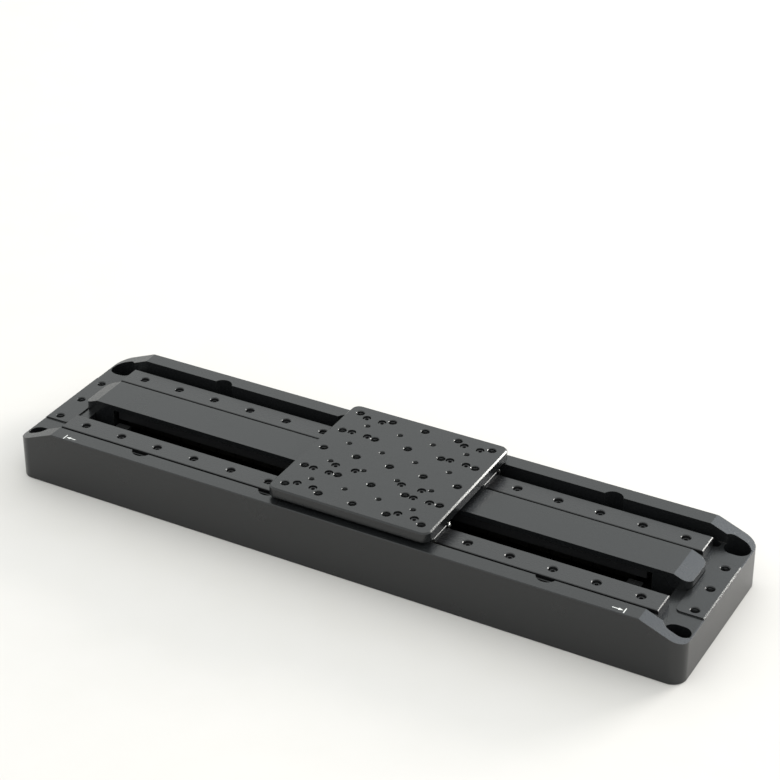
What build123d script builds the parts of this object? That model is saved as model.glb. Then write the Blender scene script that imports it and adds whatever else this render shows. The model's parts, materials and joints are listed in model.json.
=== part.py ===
from build123d import *
import os
from math import radians, tan

# Direct-drive linear translation stage: a machined base with two profile rails,
# a 120 mm square carriage on four bearing blocks, a side-lying linear motor under
# a ridge-shaped cover, an optical encoder, end stops and limit sensors.
# X runs along the travel, Y across the base, Z up. The origin is the centre of
# the base's underside. All lengths are in millimetres.

# ---------------------------------------------------------------- travel and grid
travel_end_allowance = 100.0    # base beyond each end of the carriage centre's travel
carriage_position = 12.9        # carriage centre from mid travel, as the stage stands
tap_spacing = 25.4              # tapped-hole grid of the carriage and the end pads

# ---------------------------------------------------------------- base
base_length = 500.0
base_width = 130.0
wall_clearance = 1.5            # side walls under the carriage plate
base_corner_radius = 10.0
base_edge_chamfer = 0.5
bevel_length = 30.0             # sloped ends of the side walls
bevel_angle = 22.0
deck_height = 29.65             # rail seats and the recess round the end pads
pad_rise = 0.95
pad_length = 20.0
pad_width = 62.0
pad_corner_radius = 4.0
pad_edge_chamfer = 0.9
motor_bay_end_wall = 28.0       # solid base beyond each end of the motor bay
motor_bay_floor = 12.0
motor_bay_corner_radius = 5.0
rail_land_margin = 0.6          # land left beside each rail
trough_end_wall = 21.0          # solid base beyond each end of a trough
trough_width = 7.1              # the side walls start where the troughs end
trough_floor = 16.0
relief_depth = 0.8              # hollow of the underside, inside a flat rim
relief_rim_width = 16.0
relief_corner_radius = 6.0

# ---------------------------------------------------------------- mounting holes
corner_slot_inset = 10.2        # middle of the corner slots from the ends of the base
corner_slot_spacing_y = 100.8   # takes bolts 100 to 101.6 apart
corner_slot_run = 4.0           # free travel of a bolt along its slot
corner_counterbore_width = 13.8
bolt_spacing_y = 101.6
outer_bolt_spacing_x = 304.8
inner_bolt_spacing_x = 101.6
bolt_hole_diameter = 6.8
bolt_counterbore_diameter = 14.3
bolt_seat_height = 10.0
large_tap_diameter = 5.6
large_tap_mouth_diameter = 6.5
small_tap_diameter = 3.6
small_tap_mouth_diameter = 4.4
tap_mouth_angle = 90.0
pad_tap_inset = 8.7             # from the ends of the base
pad_tap_depth = 11.0

# ---------------------------------------------------------------- rails and blocks
rail_offset = 36.5
rail_width = 18.0
rail_height = 7.5
rail_inset = 25.0               # rail ends from the ends of the base
rail_hole_pitch = 30.0
rail_end_margin = 15.0
rail_end_chamfer = 0.7
rail_top_chamfer = 0.4
raceway_height = 4.5            # middle of the ball groove above the rail seat
raceway_opening = 2.2
raceway_depth = 0.7
block_spacing = 75.5
block_width = 30.0
block_body_length = 27.5
block_assembly_height = 12.0
block_ground_clearance = 3.0
block_edge_chamfer = 0.6
block_hole_spacing_x = 12.0
block_hole_spacing_y = 21.0
block_tap_depth = 3.4
end_cap_thickness = 4.7
end_cap_inset = 0.3             # end caps stand this far inside the steel body
end_seal_thickness = 1.2
end_seal_width = 27.6
end_seal_height = 9.3           # top edge above the rail seat
end_seal_chamfer = 0.35
end_screw_spacing = 21.7        # the two screws that hold a seal and its cap
end_screw_height = 8.4
seal_ear_radius = 2.3           # raised round each screw
running_clearance = 0.3
seal_clearance = 0.15

# ---------------------------------------------------------------- carriage plate
plate_size = 120.0
plate_thickness = 8.0
plate_corner_radius = 6.0
plate_edge_chamfer = 1.0
plate_seat_rise = 1.35          # pads under the plate that meet the blocks
plate_seat_margin = 0.5
plate_counterbore_depth = 3.5
grid_count = 5

# ---------------------------------------------------------------- cap screws
m2 = 2.0
m3 = 3.0
m4 = 4.0
screw_head_ratio = 1.8          # head diameter over thread diameter
hex_key_ratio = 0.83            # key size over thread diameter
socket_depth_ratio = 0.5
counterbore_margin = 0.6        # counterbore diameter over head diameter
shank_hole_margin = 0.5         # clearance hole diameter over thread diameter
thread_clearance = 0.02
rail_counterbore_depth = 4.5
rail_mouth_chamfer = 0.5
rail_screw_length = 8.0
block_screw_engagement = 2.65
forcer_screw_length = 10.0

# ---------------------------------------------------------------- linear motor
cover_width = 30.7
cover_offset = 5.85             # centre line of the cover from the base's centre
cover_clearance = 2.5           # cover under the carriage plate
cover_inset = 18.7              # cover ends from the ends of the base
cover_corner_radius = 6.5
cover_roof_thickness = 4.0
cover_wall_thickness = 4.0
cover_end_clearance = 4.0       # free length between the track and the solid ends
cover_seat_clearance = 0.25
track_end_margin = 20.0         # motor bay beyond each end of the track
track_setback = 1.1             # track front behind the cover front
track_clearance = 0.4
track_plate_thickness = 6.0
track_web_width = 6.5
track_screw_pitch = 76.0
magnet_thickness = 4.0
magnet_pitch = 15.0
magnet_gap = 0.8
magnet_edge_margin = 0.5
magnet_end_margin = 7.0
coil_side_clearance = 0.6
coil_tip_clearance = 1.5
coil_root_height = 5.0
coil_root_depth = 1.6
coil_corner_radius = 3.0
forcer_offset = -15.8
forcer_bar_length = 72.0
forcer_bar_width = 10.0
forcer_outer_screw_spacing = 65.0
forcer_inner_screw_spacing = 35.0
underside_screw_seat = 5.8      # head seats of the screws that enter from below
track_screw_length = 11.8
web_screw_length = 18.0
web_screw_head_recess = 0.2
cover_screw_length = 16.0
cover_screw_spacing_y = 16.0

# ---------------------------------------------------------------- encoder
scale_width = 6.0
scale_thickness = 0.2
scale_margin = 6.0
read_gap = 0.8
read_head_length = 20.5
read_head_width = 11.0
read_head_height = 7.0
read_head_edge_radius = 1.0
bracket_length = 34.0
bracket_screw_spacing = 28.0
bracket_screw_length = 6.0

# ---------------------------------------------------------------- end stops and limits
over_travel = 1.0
bumper_diameter = 8.0
bumper_thickness = 4.0
bumper_height = 23.2
stop_thickness = 10.0
stop_width = 12.0
stop_height = 27.6
stop_edge_radius = 1.0
stop_screw_length = 19.0
sensor_height = 13.0
sensor_side_gap = 0.3
sensor_leg_length = 8.0
sensor_foot_length = 15.0
sensor_foot_height = 3.2
sensor_slit_width = 2.6
sensor_screw_length = 6.0
vane_length = 32.0
vane_thickness = 0.8
vane_foot_width = 7.0
vane_foot_thickness = 1.0
vane_tip_clearance = 1.0
vane_screw_spacing = 20.0
vane_screw_length = 4.0

# ---------------------------------------------------------------- connectors (left end)
connector_recess_depth = 7.0
connector_recess_width = 68.0
connector_recess_height = 15.5
connector_recess_radius = 2.0
connector_line_height = 10.75
encoder_port_offset = -12.5
encoder_flange_width = 39.2
encoder_flange_height = 12.5
encoder_flange_thickness = 1.0
encoder_flange_radius = 1.5
encoder_shell_width = 25.2
encoder_shell_height = 8.4
encoder_shell_length = 5.8
encoder_shell_wall = 0.6
encoder_shell_taper = 10.0
encoder_body_length = 9.0
encoder_insert_depth = 1.0
jack_post_spacing = 33.3
jack_post_width = 4.8
jack_post_length = 4.5
jack_post_tap_depth = 2.4
jack_post_thread_length = 6.0
motor_port_offset = 22.0
motor_flange_diameter = 14.4
motor_flange_thickness = 1.6
motor_barrel_diameter = 11.8
motor_barrel_length = 6.2
motor_barrel_wall = 1.1
motor_thread_diameter = 10.0
motor_thread_length = 9.0
motor_insert_depth = 1.6
port_clearance = 0.4

# ---------------------------------------------------------------- worked-out levels and lines
travel = base_length - 2 * travel_end_allowance
motor_bay_length = base_length - 2 * motor_bay_end_wall
trough_length = base_length - 2 * trough_end_wall
corner_slot_spacing_x = base_length - 2 * corner_slot_inset
pad_tap_spacing_x = base_length - 2 * pad_tap_inset
rail_length = base_length - 2 * rail_inset
cover_length = base_length - 2 * cover_inset
track_length = motor_bay_length - 2 * track_end_margin
rail_top = deck_height + rail_height
block_top = deck_height + block_assembly_height
plate_bottom = block_top + plate_seat_rise
plate_top = plate_bottom + plate_thickness
base_height = plate_bottom - wall_clearance
pad_top = deck_height + pad_rise
land_inner = rail_offset - rail_width / 2 - rail_land_margin
land_outer = rail_offset + rail_width / 2 + rail_land_margin
trough_center = land_outer + trough_width / 2
inner_wall = land_outer + trough_width
plate_screw_seat = plate_top - plate_counterbore_depth
block_screw_length = plate_screw_seat - block_top + block_screw_engagement
end_face = base_length / 2

cover_front = cover_offset - cover_width / 2
cover_back = cover_offset + cover_width / 2
cover_height = plate_bottom - cover_clearance
cover_ceiling = cover_height - cover_roof_thickness
cover_inner_back = cover_back - cover_wall_thickness
cover_block_start = track_length / 2 + cover_end_clearance
cover_screw_x = (cover_block_start + motor_bay_length / 2) / 2
track_front = cover_front + track_setback
track_back = cover_inner_back - track_clearance
track_top = cover_ceiling - track_clearance
web_front = track_back - track_web_width
web_center = track_back - track_web_width / 2
lower_plate_top = motor_bay_floor + track_plate_thickness
upper_plate_bottom = track_top - track_plate_thickness
coil_level = (lower_plate_top + upper_plate_bottom) / 2
air_gap = upper_plate_bottom - lower_plate_top - 2 * magnet_thickness
coil_thickness = air_gap - 2 * coil_side_clearance
magnet_width = web_front - track_front - 2 * magnet_edge_margin
magnet_center = (track_front + web_front) / 2
track_screw_reach = track_screw_length - (motor_bay_floor - underside_screw_seat)
web_screw_seat = track_top - m3 - web_screw_head_recess
web_screw_engagement = web_screw_length - (web_screw_seat - lower_plate_top)

forcer_bar_bottom = coil_level - coil_root_height / 2
forcer_bar_side = forcer_offset + forcer_bar_width / 2
scale_top = motor_bay_floor + scale_thickness
scale_length = travel + read_head_length + 2 * scale_margin
read_head_bottom = scale_top + read_gap
read_head_top = read_head_bottom + read_head_height

stop_face = travel / 2 + forcer_bar_length / 2 + over_travel
stop_start = stop_face + bumper_thickness
stop_center = stop_start + stop_thickness / 2
sensor_width = trough_width - 2 * sensor_side_gap
sensor_beam = travel / 2 + vane_length / 2 + over_travel / 2
sensor_start = sensor_beam - sensor_leg_length / 2
sensor_screw_x = sensor_start + (sensor_leg_length + sensor_foot_length) / 2
vane_bottom = trough_floor + sensor_foot_height + vane_tip_clearance
connector_wall = -end_face + connector_recess_depth
connector_wall_thickness = -motor_bay_length / 2 - connector_wall
jack_post_places = [(encoder_port_offset + side * jack_post_spacing / 2, connector_line_height)
                    for side in (-1, 1)]

SIDES = (("front", -1), ("rear", 1))
ENDS = (("left", -1), ("right", 1))


# ---------------------------------------------------------------- shared helpers
def save(builder, label):
    """Label a finished sub-part and write it as its own STEP file."""
    builder.part.label = label
    export_step(builder.part, f"parts/{label}.step")


def head_diameter(thread):
    """Diameter of a cap screw's head."""
    return thread * screw_head_ratio


def counterbore_radius(thread):
    """Radius of the counterbore that a cap screw's head sits in."""
    return (head_diameter(thread) + counterbore_margin) / 2


def shank_hole_radius(thread):
    """Radius of a screw's clearance hole."""
    return (thread + shank_hole_margin) / 2


def tapped_radius(thread):
    """Radius of a tapped hole, which holds the screw's plain shank."""
    return thread / 2 + thread_clearance


def at_height(points, height):
    """Places of a pattern, lifted to one height."""
    return [(x, y, height) for x, y in points]


def rows(x_values, y_values):
    """Every pair of an X and a Y."""
    return [(x, y) for x in x_values for y in y_values]


def whole_pitches(length, pitch):
    """Number of whole pitches that fit in a length."""
    return int(round(length / pitch, 6))


def spread(count, pitch):
    """Evenly pitched values about zero."""
    return [(index - (count - 1) / 2) * pitch for index in range(count)]


def socket_screws(places, seat, thread, length, facing=1):
    """Hex socket cap screws on one seat; facing 1 has the heads up, -1 down."""
    with BuildPart() as screws:
        with BuildSketch(Plane.XY.offset(seat)):
            with Locations(*places):
                Circle(head_diameter(thread) / 2)
        extrude(amount=facing * thread)
        with BuildSketch(Plane.XY.offset(seat)):
            with Locations(*places):
                Circle(thread / 2)
        extrude(amount=-facing * length)
        with BuildSketch(Plane.XY.offset(seat + facing * thread)):
            with Locations(*places):
                RegularPolygon(thread * hex_key_ratio / 2, 6, major_radius=False)
        extrude(amount=-facing * thread * socket_depth_ratio, mode=Mode.SUBTRACT)
    return screws


# ---------------------------------------------------------------- hole patterns
corner_slots = rows((-corner_slot_spacing_x / 2, corner_slot_spacing_x / 2),
                    (-corner_slot_spacing_y / 2, corner_slot_spacing_y / 2))
inner_bolts = rows((-outer_bolt_spacing_x / 2, -inner_bolt_spacing_x / 2,
                    inner_bolt_spacing_x / 2, outer_bolt_spacing_x / 2),
                   (-bolt_spacing_y / 2, bolt_spacing_y / 2))
pad_taps = rows((-pad_tap_spacing_x / 2, pad_tap_spacing_x / 2),
                (-tap_spacing, 0, tap_spacing))
rail_holes_x = spread(whole_pitches(rail_length - 2 * rail_end_margin, rail_hole_pitch) + 1,
                      rail_hole_pitch)
track_screws_x = spread(whole_pitches(track_length, track_screw_pitch), track_screw_pitch)
track_screw_places = rows(track_screws_x, (magnet_center,))
web_screw_places = rows(track_screws_x, (web_center,))
magnets_x = spread(whole_pitches(track_length - 2 * magnet_end_margin, magnet_pitch),
                   magnet_pitch)
cover_screw_places = rows((-cover_screw_x, cover_screw_x),
                          (cover_offset - cover_screw_spacing_y / 2,
                           cover_offset + cover_screw_spacing_y / 2))
stop_screw_places = [(side * stop_center, forcer_offset) for _, side in ENDS]
sensor_screw_places = [(side * sensor_screw_x, -trough_center) for _, side in ENDS]
block_centers = rows((carriage_position - block_spacing / 2,
                      carriage_position + block_spacing / 2),
                     (-rail_offset, rail_offset))
block_screw_places = [(x + dx, y + dy)
                      for x, y in block_centers
                      for dx, dy in rows((-block_hole_spacing_x / 2, block_hole_spacing_x / 2),
                                         (-block_hole_spacing_y / 2, block_hole_spacing_y / 2))]
forcer_screw_places = [(carriage_position + side * spacing / 2, forcer_offset)
                       for spacing in (forcer_outer_screw_spacing, forcer_inner_screw_spacing)
                       for side in (-1, 1)]
bracket_screw_places = [(carriage_position + side * bracket_screw_spacing / 2, forcer_offset)
                        for side in (-1, 1)]
vane_screw_y = -trough_center + vane_thickness / 2 + vane_foot_width / 2
vane_screw_places = [(carriage_position + side * vane_screw_spacing / 2, vane_screw_y)
                     for side in (-1, 1)]


def cover_outline(growth=0.0):
    """Plan of the motor cover in the current sketch, grown by a clearance."""
    with Locations((0, cover_offset)):
        RectangleRounded(cover_length + 2 * growth, cover_width + 2 * growth,
                         cover_corner_radius + growth)


def end_bevels(level):
    """Cut both ends along the slope that starts at the given level."""
    drop = bevel_length * tan(radians(bevel_angle))
    start = end_face - bevel_length
    with BuildSketch(Plane.XZ) as slopes:
        with BuildLine():
            Polyline((start, level), (end_face, level - drop),
                     (end_face, level + drop), (start, level + drop), close=True)
        make_face()
        mirror(about=Plane.YZ)
    extrude(slopes.sketch, amount=base_width, both=True, mode=Mode.SUBTRACT)


# ---------------------------------------------------------------- base
def build_base():
    """One machined block: walls, deck, end pads, bays, troughs and all its holes."""
    with BuildPart() as base:
        with BuildSketch():
            RectangleRounded(base_length, base_width, base_corner_radius)
        extrude(amount=base_height)
        chamfer(base.faces().filter_by(Axis.Z).edges(), base_edge_chamfer)

        # open channel between the side walls, then the sloped wall ends
        with BuildSketch(Plane.XY.offset(deck_height)):
            Rectangle(base_length, 2 * inner_wall)
        extrude(amount=base_height, mode=Mode.SUBTRACT)
        end_bevels(base_height)

        # raised end pads, notched round the cover's feet
        with BuildSketch(Plane.XY.offset(deck_height)) as pads:
            with Locations((end_face - pad_length / 2, 0), (pad_length / 2 - end_face, 0)):
                Rectangle(pad_length, pad_width)
            inner_corners = pads.vertices().filter_by_position(
                Axis.X, -end_face + pad_edge_chamfer, end_face - pad_edge_chamfer)
            fillet(inner_corners, pad_corner_radius)
        extrude(amount=pad_rise)
        pad_rims = base.faces().filter_by(Plane.XY).filter_by_position(
            Axis.Z, pad_top - pad_rise / 2, pad_top + pad_rise / 2).edges().filter_by(Axis.Y)
        chamfer(pad_rims.group_by(Axis.X)[0] + pad_rims.group_by(Axis.X)[-1], pad_edge_chamfer)
        with BuildSketch(Plane.XY.offset(deck_height)):
            cover_outline(cover_seat_clearance)
        extrude(amount=pad_rise, mode=Mode.SUBTRACT)

        # motor bay in the middle and a trough beside each wall
        with BuildSketch(Plane.XY.offset(motor_bay_floor)):
            RectangleRounded(motor_bay_length, 2 * land_inner, motor_bay_corner_radius)
        extrude(amount=base_height, mode=Mode.SUBTRACT)
        with BuildSketch(Plane.XY.offset(trough_floor)):
            with Locations((0, -trough_center), (0, trough_center)):
                SlotOverall(trough_length, trough_width)
        extrude(amount=base_height, mode=Mode.SUBTRACT)

        # hollow underside inside a flat rim
        with BuildSketch():
            RectangleRounded(base_length - 2 * relief_rim_width,
                             base_width - 2 * relief_rim_width, relief_corner_radius)
        extrude(amount=relief_depth, mode=Mode.SUBTRACT)

        # counterbored bolt holes through to the underside, and slots at the corners
        with Locations(*at_height(inner_bolts, base_height)):
            CounterBoreHole(bolt_hole_diameter / 2, bolt_counterbore_diameter / 2,
                            base_height - bolt_seat_height)
        with BuildSketch():
            with Locations(*corner_slots):
                SlotCenterToCenter(corner_slot_run, bolt_hole_diameter)
        extrude(amount=base_height, mode=Mode.SUBTRACT)
        with BuildSketch(Plane.XY.offset(bolt_seat_height)):
            with Locations(*corner_slots):
                SlotCenterToCenter(corner_slot_run, corner_counterbore_width)
        extrude(amount=base_height, mode=Mode.SUBTRACT)
        with Locations(*at_height(pad_taps, pad_top)):
            CounterSinkHole(large_tap_diameter / 2, large_tap_mouth_diameter / 2,
                            depth=pad_tap_depth, counter_sink_angle=tap_mouth_angle)

        # tapped holes of the rails, end stops and sensors
        for _, side in SIDES:
            with Locations(*at_height(rows(rail_holes_x, (side * rail_offset,)), deck_height)):
                Hole(tapped_radius(m3), depth=rail_screw_length)
        with Locations(*at_height(stop_screw_places, motor_bay_floor)):
            Hole(tapped_radius(m3), depth=stop_screw_length - (stop_height - m3 - motor_bay_floor))
        with Locations(*at_height(sensor_screw_places, trough_floor)):
            Hole(tapped_radius(m2), depth=sensor_screw_length)

        # screws that enter from below hold the track and the cover
        with BuildSketch():
            with Locations(*(track_screw_places + cover_screw_places)):
                Circle(shank_hole_radius(m4))
        extrude(amount=motor_bay_floor, mode=Mode.SUBTRACT)
        with BuildSketch():
            with Locations(*(track_screw_places + cover_screw_places)):
                Circle(counterbore_radius(m4))
        extrude(amount=underside_screw_seat, mode=Mode.SUBTRACT)

        # connector recess in the left end, with a way through to the motor bay
        with BuildSketch(Plane.YZ.offset(-end_face)):
            with Locations((0, connector_line_height)):
                RectangleRounded(connector_recess_width, connector_recess_height,
                                 connector_recess_radius)
        extrude(amount=connector_recess_depth, mode=Mode.SUBTRACT)
        with BuildSketch(Plane.YZ.offset(connector_wall)):
            with Locations((encoder_port_offset, connector_line_height)):
                Rectangle(encoder_shell_width + 2 * port_clearance,
                          encoder_shell_height + 2 * port_clearance)
            with Locations((motor_port_offset, connector_line_height)):
                Circle(motor_thread_diameter / 2 + thread_clearance)
        extrude(amount=connector_wall_thickness, mode=Mode.SUBTRACT)
        with BuildSketch(Plane.YZ.offset(connector_wall)):
            with Locations(*jack_post_places):
                Circle(tapped_radius(m3))
        extrude(amount=jack_post_thread_length, mode=Mode.SUBTRACT)
    return base


# ---------------------------------------------------------------- rails
def rail_section(growth=0.0):
    """Cross-section of a rail on its seat: top chamfers and a ball groove each side."""
    half = rail_width / 2
    groove_low = raceway_height - raceway_opening / 2
    groove_high = raceway_height + raceway_opening / 2
    with BuildLine() as outline:
        Polyline((0, 0), (half, 0), (half, groove_low))
        ThreePointArc((half, groove_low), (half - raceway_depth, raceway_height),
                      (half, groove_high))
        Polyline((half, groove_high), (half, rail_height - rail_top_chamfer),
                 (half - rail_top_chamfer, rail_height), (0, rail_height))
        mirror(about=Plane.YZ)
    section = make_face(outline.edges())
    if growth:
        offset(section, amount=growth, kind=Kind.INTERSECTION, mode=Mode.REPLACE)


def build_rail(offset_y):
    """A ground steel rail with a counterbored screw hole at every pitch."""
    section_plane = Plane(origin=(-rail_length / 2, offset_y, deck_height),
                          x_dir=(0, 1, 0), z_dir=(1, 0, 0))
    with BuildPart() as rail:
        with BuildSketch(section_plane):
            rail_section()
        extrude(amount=rail_length)
        tips = rail.faces().filter_by(Axis.Z).sort_by(Axis.Z)[-1].edges().filter_by(Axis.Y)
        chamfer(tips, rail_end_chamfer)
        with Locations(*at_height(rows(rail_holes_x, (offset_y,)), rail_top)):
            CounterBoreHole(shank_hole_radius(m3), counterbore_radius(m3),
                            rail_counterbore_depth)
        mouths = rail.faces().filter_by(Axis.Z).sort_by(Axis.Z)[-1].edges().filter_by(
            GeomType.CIRCLE)
        chamfer(mouths, rail_mouth_chamfer)
    return rail


# ---------------------------------------------------------------- bearing blocks
def saddle(center, start, length, inset, clearance):
    """A piece of the block's section that straddles the rail, running along X."""
    x, y = center
    section_plane = Plane(origin=(x + start, y, deck_height), x_dir=(0, 1, 0), z_dir=(1, 0, 0))
    bottom = block_ground_clearance + inset
    top = block_assembly_height - inset
    with BuildPart() as piece:
        with BuildSketch(section_plane):
            with Locations((0, (bottom + top) / 2)):
                outline = Rectangle(block_width - 2 * inset, top - bottom)
            chamfer(outline.vertices(), block_edge_chamfer)
        extrude(amount=length)
        with BuildSketch(section_plane):
            rail_section(clearance)
        extrude(amount=length, mode=Mode.SUBTRACT)
    return piece


def build_block(center):
    """Steel body of a bearing block with its four tapped holes."""
    x, y = center
    with BuildPart() as block:
        add(saddle(center, -block_body_length / 2, block_body_length, 0, running_clearance))
        with Locations((x, y, block_top)):
            with GridLocations(block_hole_spacing_x, block_hole_spacing_y, 2, 2):
                Hole(tapped_radius(m3), depth=block_tap_depth)
    return block


def build_end_cap(center, side):
    """Moulded ball-return cap on one end of a block."""
    start = block_body_length / 2
    if side < 0:
        start = -block_body_length / 2 - end_cap_thickness
    return saddle(center, start, end_cap_thickness, end_cap_inset, running_clearance)


def build_end_seal(center, side):
    """Wiper seal on one end of a block, with an ear round each of its two screws."""
    x, y = center
    cap_face = x + side * (block_body_length / 2 + end_cap_thickness)
    section_plane = Plane(origin=(cap_face, y, deck_height), x_dir=(0, 1, 0), z_dir=(1, 0, 0))
    with BuildPart() as seal:
        with BuildSketch(section_plane):
            with Locations((0, (block_ground_clearance + end_seal_height) / 2)):
                Rectangle(end_seal_width, end_seal_height - block_ground_clearance)
            with Locations((-end_screw_spacing / 2, end_screw_height),
                           (end_screw_spacing / 2, end_screw_height)):
                Circle(seal_ear_radius)
        extrude(amount=side * end_seal_thickness)
        with BuildSketch(section_plane):
            rail_section(seal_clearance)
        extrude(amount=side * end_seal_thickness, mode=Mode.SUBTRACT)
        top_edges = seal.edges().filter_by(Axis.Y).filter_by_position(
            Axis.Z, deck_height + end_seal_height - end_seal_chamfer,
            deck_height + end_seal_height + end_seal_chamfer)
        chamfer(top_edges.group_by(Axis.X)[-1 if side > 0 else 0], end_seal_chamfer)
    return seal


def build_end_seals():
    """The eight wiper seals, one on every end cap, as separate solids."""
    with BuildPart() as seals:
        for center in block_centers:
            for _, side in ENDS:
                add(build_end_seal(center, side))
    return seals


# ---------------------------------------------------------------- carriage plate
def build_carriage_plate():
    """The moving plate: tapped grids on top, seats for the blocks underneath."""
    seat_length = block_body_length + 2 * (end_cap_thickness + end_seal_thickness
                                           + plate_seat_margin)
    with BuildPart() as plate:
        with BuildSketch(Plane.XY.offset(plate_bottom)):
            with Locations((carriage_position, 0)):
                RectangleRounded(plate_size, plate_size, plate_corner_radius)
        extrude(amount=plate_thickness)
        chamfer(plate.faces().filter_by(Axis.Z).edges(), plate_edge_chamfer)
        with BuildSketch(Plane.XY.offset(plate_bottom)):
            with Locations(*block_centers):
                Rectangle(seat_length, block_width + 2 * plate_seat_margin)
        extrude(amount=-plate_seat_rise)
        with Locations((carriage_position, 0, plate_top)):
            with GridLocations(tap_spacing, tap_spacing, grid_count, grid_count):
                CounterSinkHole(large_tap_diameter / 2, large_tap_mouth_diameter / 2,
                                counter_sink_angle=tap_mouth_angle)
            with GridLocations(tap_spacing, tap_spacing, grid_count - 1, grid_count - 1):
                CounterSinkHole(small_tap_diameter / 2, small_tap_mouth_diameter / 2,
                                counter_sink_angle=tap_mouth_angle)
        with Locations(*at_height(block_screw_places + forcer_screw_places, plate_top)):
            CounterBoreHole(shank_hole_radius(m3), counterbore_radius(m3),
                            plate_counterbore_depth)
        with BuildSketch(Plane.XY.offset(plate_bottom)):
            with Locations(*vane_screw_places):
                Circle(tapped_radius(m2))
        extrude(amount=vane_screw_length - vane_foot_thickness, mode=Mode.SUBTRACT)
    return plate


# ---------------------------------------------------------------- magnet track and cover
def track_slab(front, back, bottom, top):
    """A steel bar of the track, as long as the track."""
    with BuildPart() as slab:
        with BuildSketch(Plane.XY.offset(bottom)):
            with Locations((0, (front + back) / 2)):
                Rectangle(track_length, back - front)
        extrude(amount=top - bottom)
    return slab


def build_track_lower_plate():
    """Lower back iron, tapped from below for its fixing screws."""
    with BuildPart() as lower:
        add(track_slab(track_front, track_back, motor_bay_floor, lower_plate_top))
        with BuildSketch(Plane.XY.offset(motor_bay_floor)):
            with Locations(*track_screw_places):
                Circle(tapped_radius(m4))
        extrude(amount=track_screw_reach, mode=Mode.SUBTRACT)
        with BuildSketch(Plane.XY.offset(lower_plate_top)):
            with Locations(*web_screw_places):
                Circle(tapped_radius(m3))
        extrude(amount=-web_screw_engagement, mode=Mode.SUBTRACT)
    return lower


def build_track_web():
    """Steel spacer that closes the back of the U-shaped track."""
    with BuildPart() as web:
        add(track_slab(web_front, track_back, lower_plate_top, upper_plate_bottom))
        with BuildSketch(Plane.XY.offset(lower_plate_top)):
            with Locations(*web_screw_places):
                Circle(tapped_radius(m3))
        extrude(amount=upper_plate_bottom - lower_plate_top, mode=Mode.SUBTRACT)
    return web


def build_track_upper_plate():
    """Upper back iron, counterbored for the screws that hold the track together."""
    with BuildPart() as upper:
        add(track_slab(track_front, track_back, upper_plate_bottom, track_top))
        with Locations(*at_height(web_screw_places, track_top)):
            CounterBoreHole(tapped_radius(m3), counterbore_radius(m3), track_top - web_screw_seat)
    return upper


def build_magnets(bottom):
    """One row of block magnets on a back iron, as separate solids."""
    with BuildPart() as magnets:
        with BuildSketch(Plane.XY.offset(bottom)):
            with Locations(*rows(magnets_x, (magnet_center,))):
                Rectangle(magnet_pitch - magnet_gap, magnet_width)
        extrude(amount=magnet_thickness)
    return magnets


def build_motor_cover():
    """Ridge over the track: bevelled solid ends on the deck, open towards the forcer."""
    with BuildPart() as cover:
        with BuildSketch(Plane.XY.offset(deck_height)):
            cover_outline()
        extrude(amount=cover_height - deck_height)
        end_bevels(cover_height)
        with BuildSketch(Plane.XY.offset(motor_bay_floor)):
            with Locations((0, cover_offset)):
                Rectangle(motor_bay_length - 2 * cover_seat_clearance, cover_width)
        extrude(amount=deck_height - motor_bay_floor)
        with BuildSketch(Plane.XY.offset(motor_bay_floor)):
            with Locations((0, (cover_front + cover_inner_back) / 2)):
                Rectangle(2 * cover_block_start, cover_inner_back - cover_front)
        extrude(amount=cover_ceiling - motor_bay_floor, mode=Mode.SUBTRACT)
        with BuildSketch(Plane.XY.offset(motor_bay_floor)):
            with Locations(*cover_screw_places):
                Circle(tapped_radius(m4))
        extrude(amount=cover_screw_length - (motor_bay_floor - underside_screw_seat),
                mode=Mode.SUBTRACT)
    return cover


# ---------------------------------------------------------------- forcer and read head
def build_forcer_bar():
    """Aluminium bar that hangs the coil from the plate, in line with its four screws."""
    with BuildPart() as bar:
        with BuildSketch(Plane.XY.offset(forcer_bar_bottom)):
            with Locations((carriage_position, forcer_offset)):
                Rectangle(forcer_bar_length, forcer_bar_width)
        extrude(amount=plate_bottom - forcer_bar_bottom)
        chamfer(bar.edges().filter_by(Axis.Z), block_edge_chamfer)
        with BuildSketch(Plane.XY.offset(plate_bottom)):
            with Locations(*forcer_screw_places):
                Circle(tapped_radius(m3))
        extrude(amount=-(forcer_screw_length - (plate_screw_seat - plate_bottom)),
                mode=Mode.SUBTRACT)
        with BuildSketch(Plane.XY.offset(forcer_bar_bottom)):
            with Locations(*bracket_screw_places):
                Circle(tapped_radius(m2))
        extrude(amount=bracket_screw_length, mode=Mode.SUBTRACT)
    return bar


def build_coil():
    """Potted ironless coil: a thick root on the bar and a thin blade in the track."""
    tip = web_front - coil_tip_clearance
    with BuildPart() as coil:
        with BuildSketch(Plane.XY.offset(coil_level - coil_thickness / 2)) as blade:
            with Locations((carriage_position, (forcer_bar_side + tip) / 2)):
                Rectangle(forcer_bar_length, tip - forcer_bar_side)
            fillet(blade.vertices().group_by(Axis.Y)[-1], coil_corner_radius)
        extrude(amount=coil_thickness)
        with BuildSketch(Plane.XY.offset(forcer_bar_bottom)):
            with Locations((carriage_position, forcer_bar_side + coil_root_depth / 2)):
                Rectangle(forcer_bar_length, coil_root_depth)
        extrude(amount=coil_root_height)
    return coil


def build_read_head():
    """Encoder read head that looks down at the scale."""
    with BuildPart() as head:
        with BuildSketch(Plane.XY.offset(read_head_bottom)):
            with Locations((carriage_position, forcer_offset)):
                RectangleRounded(read_head_length, read_head_width, read_head_edge_radius)
        extrude(amount=read_head_height)
    return head


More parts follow.
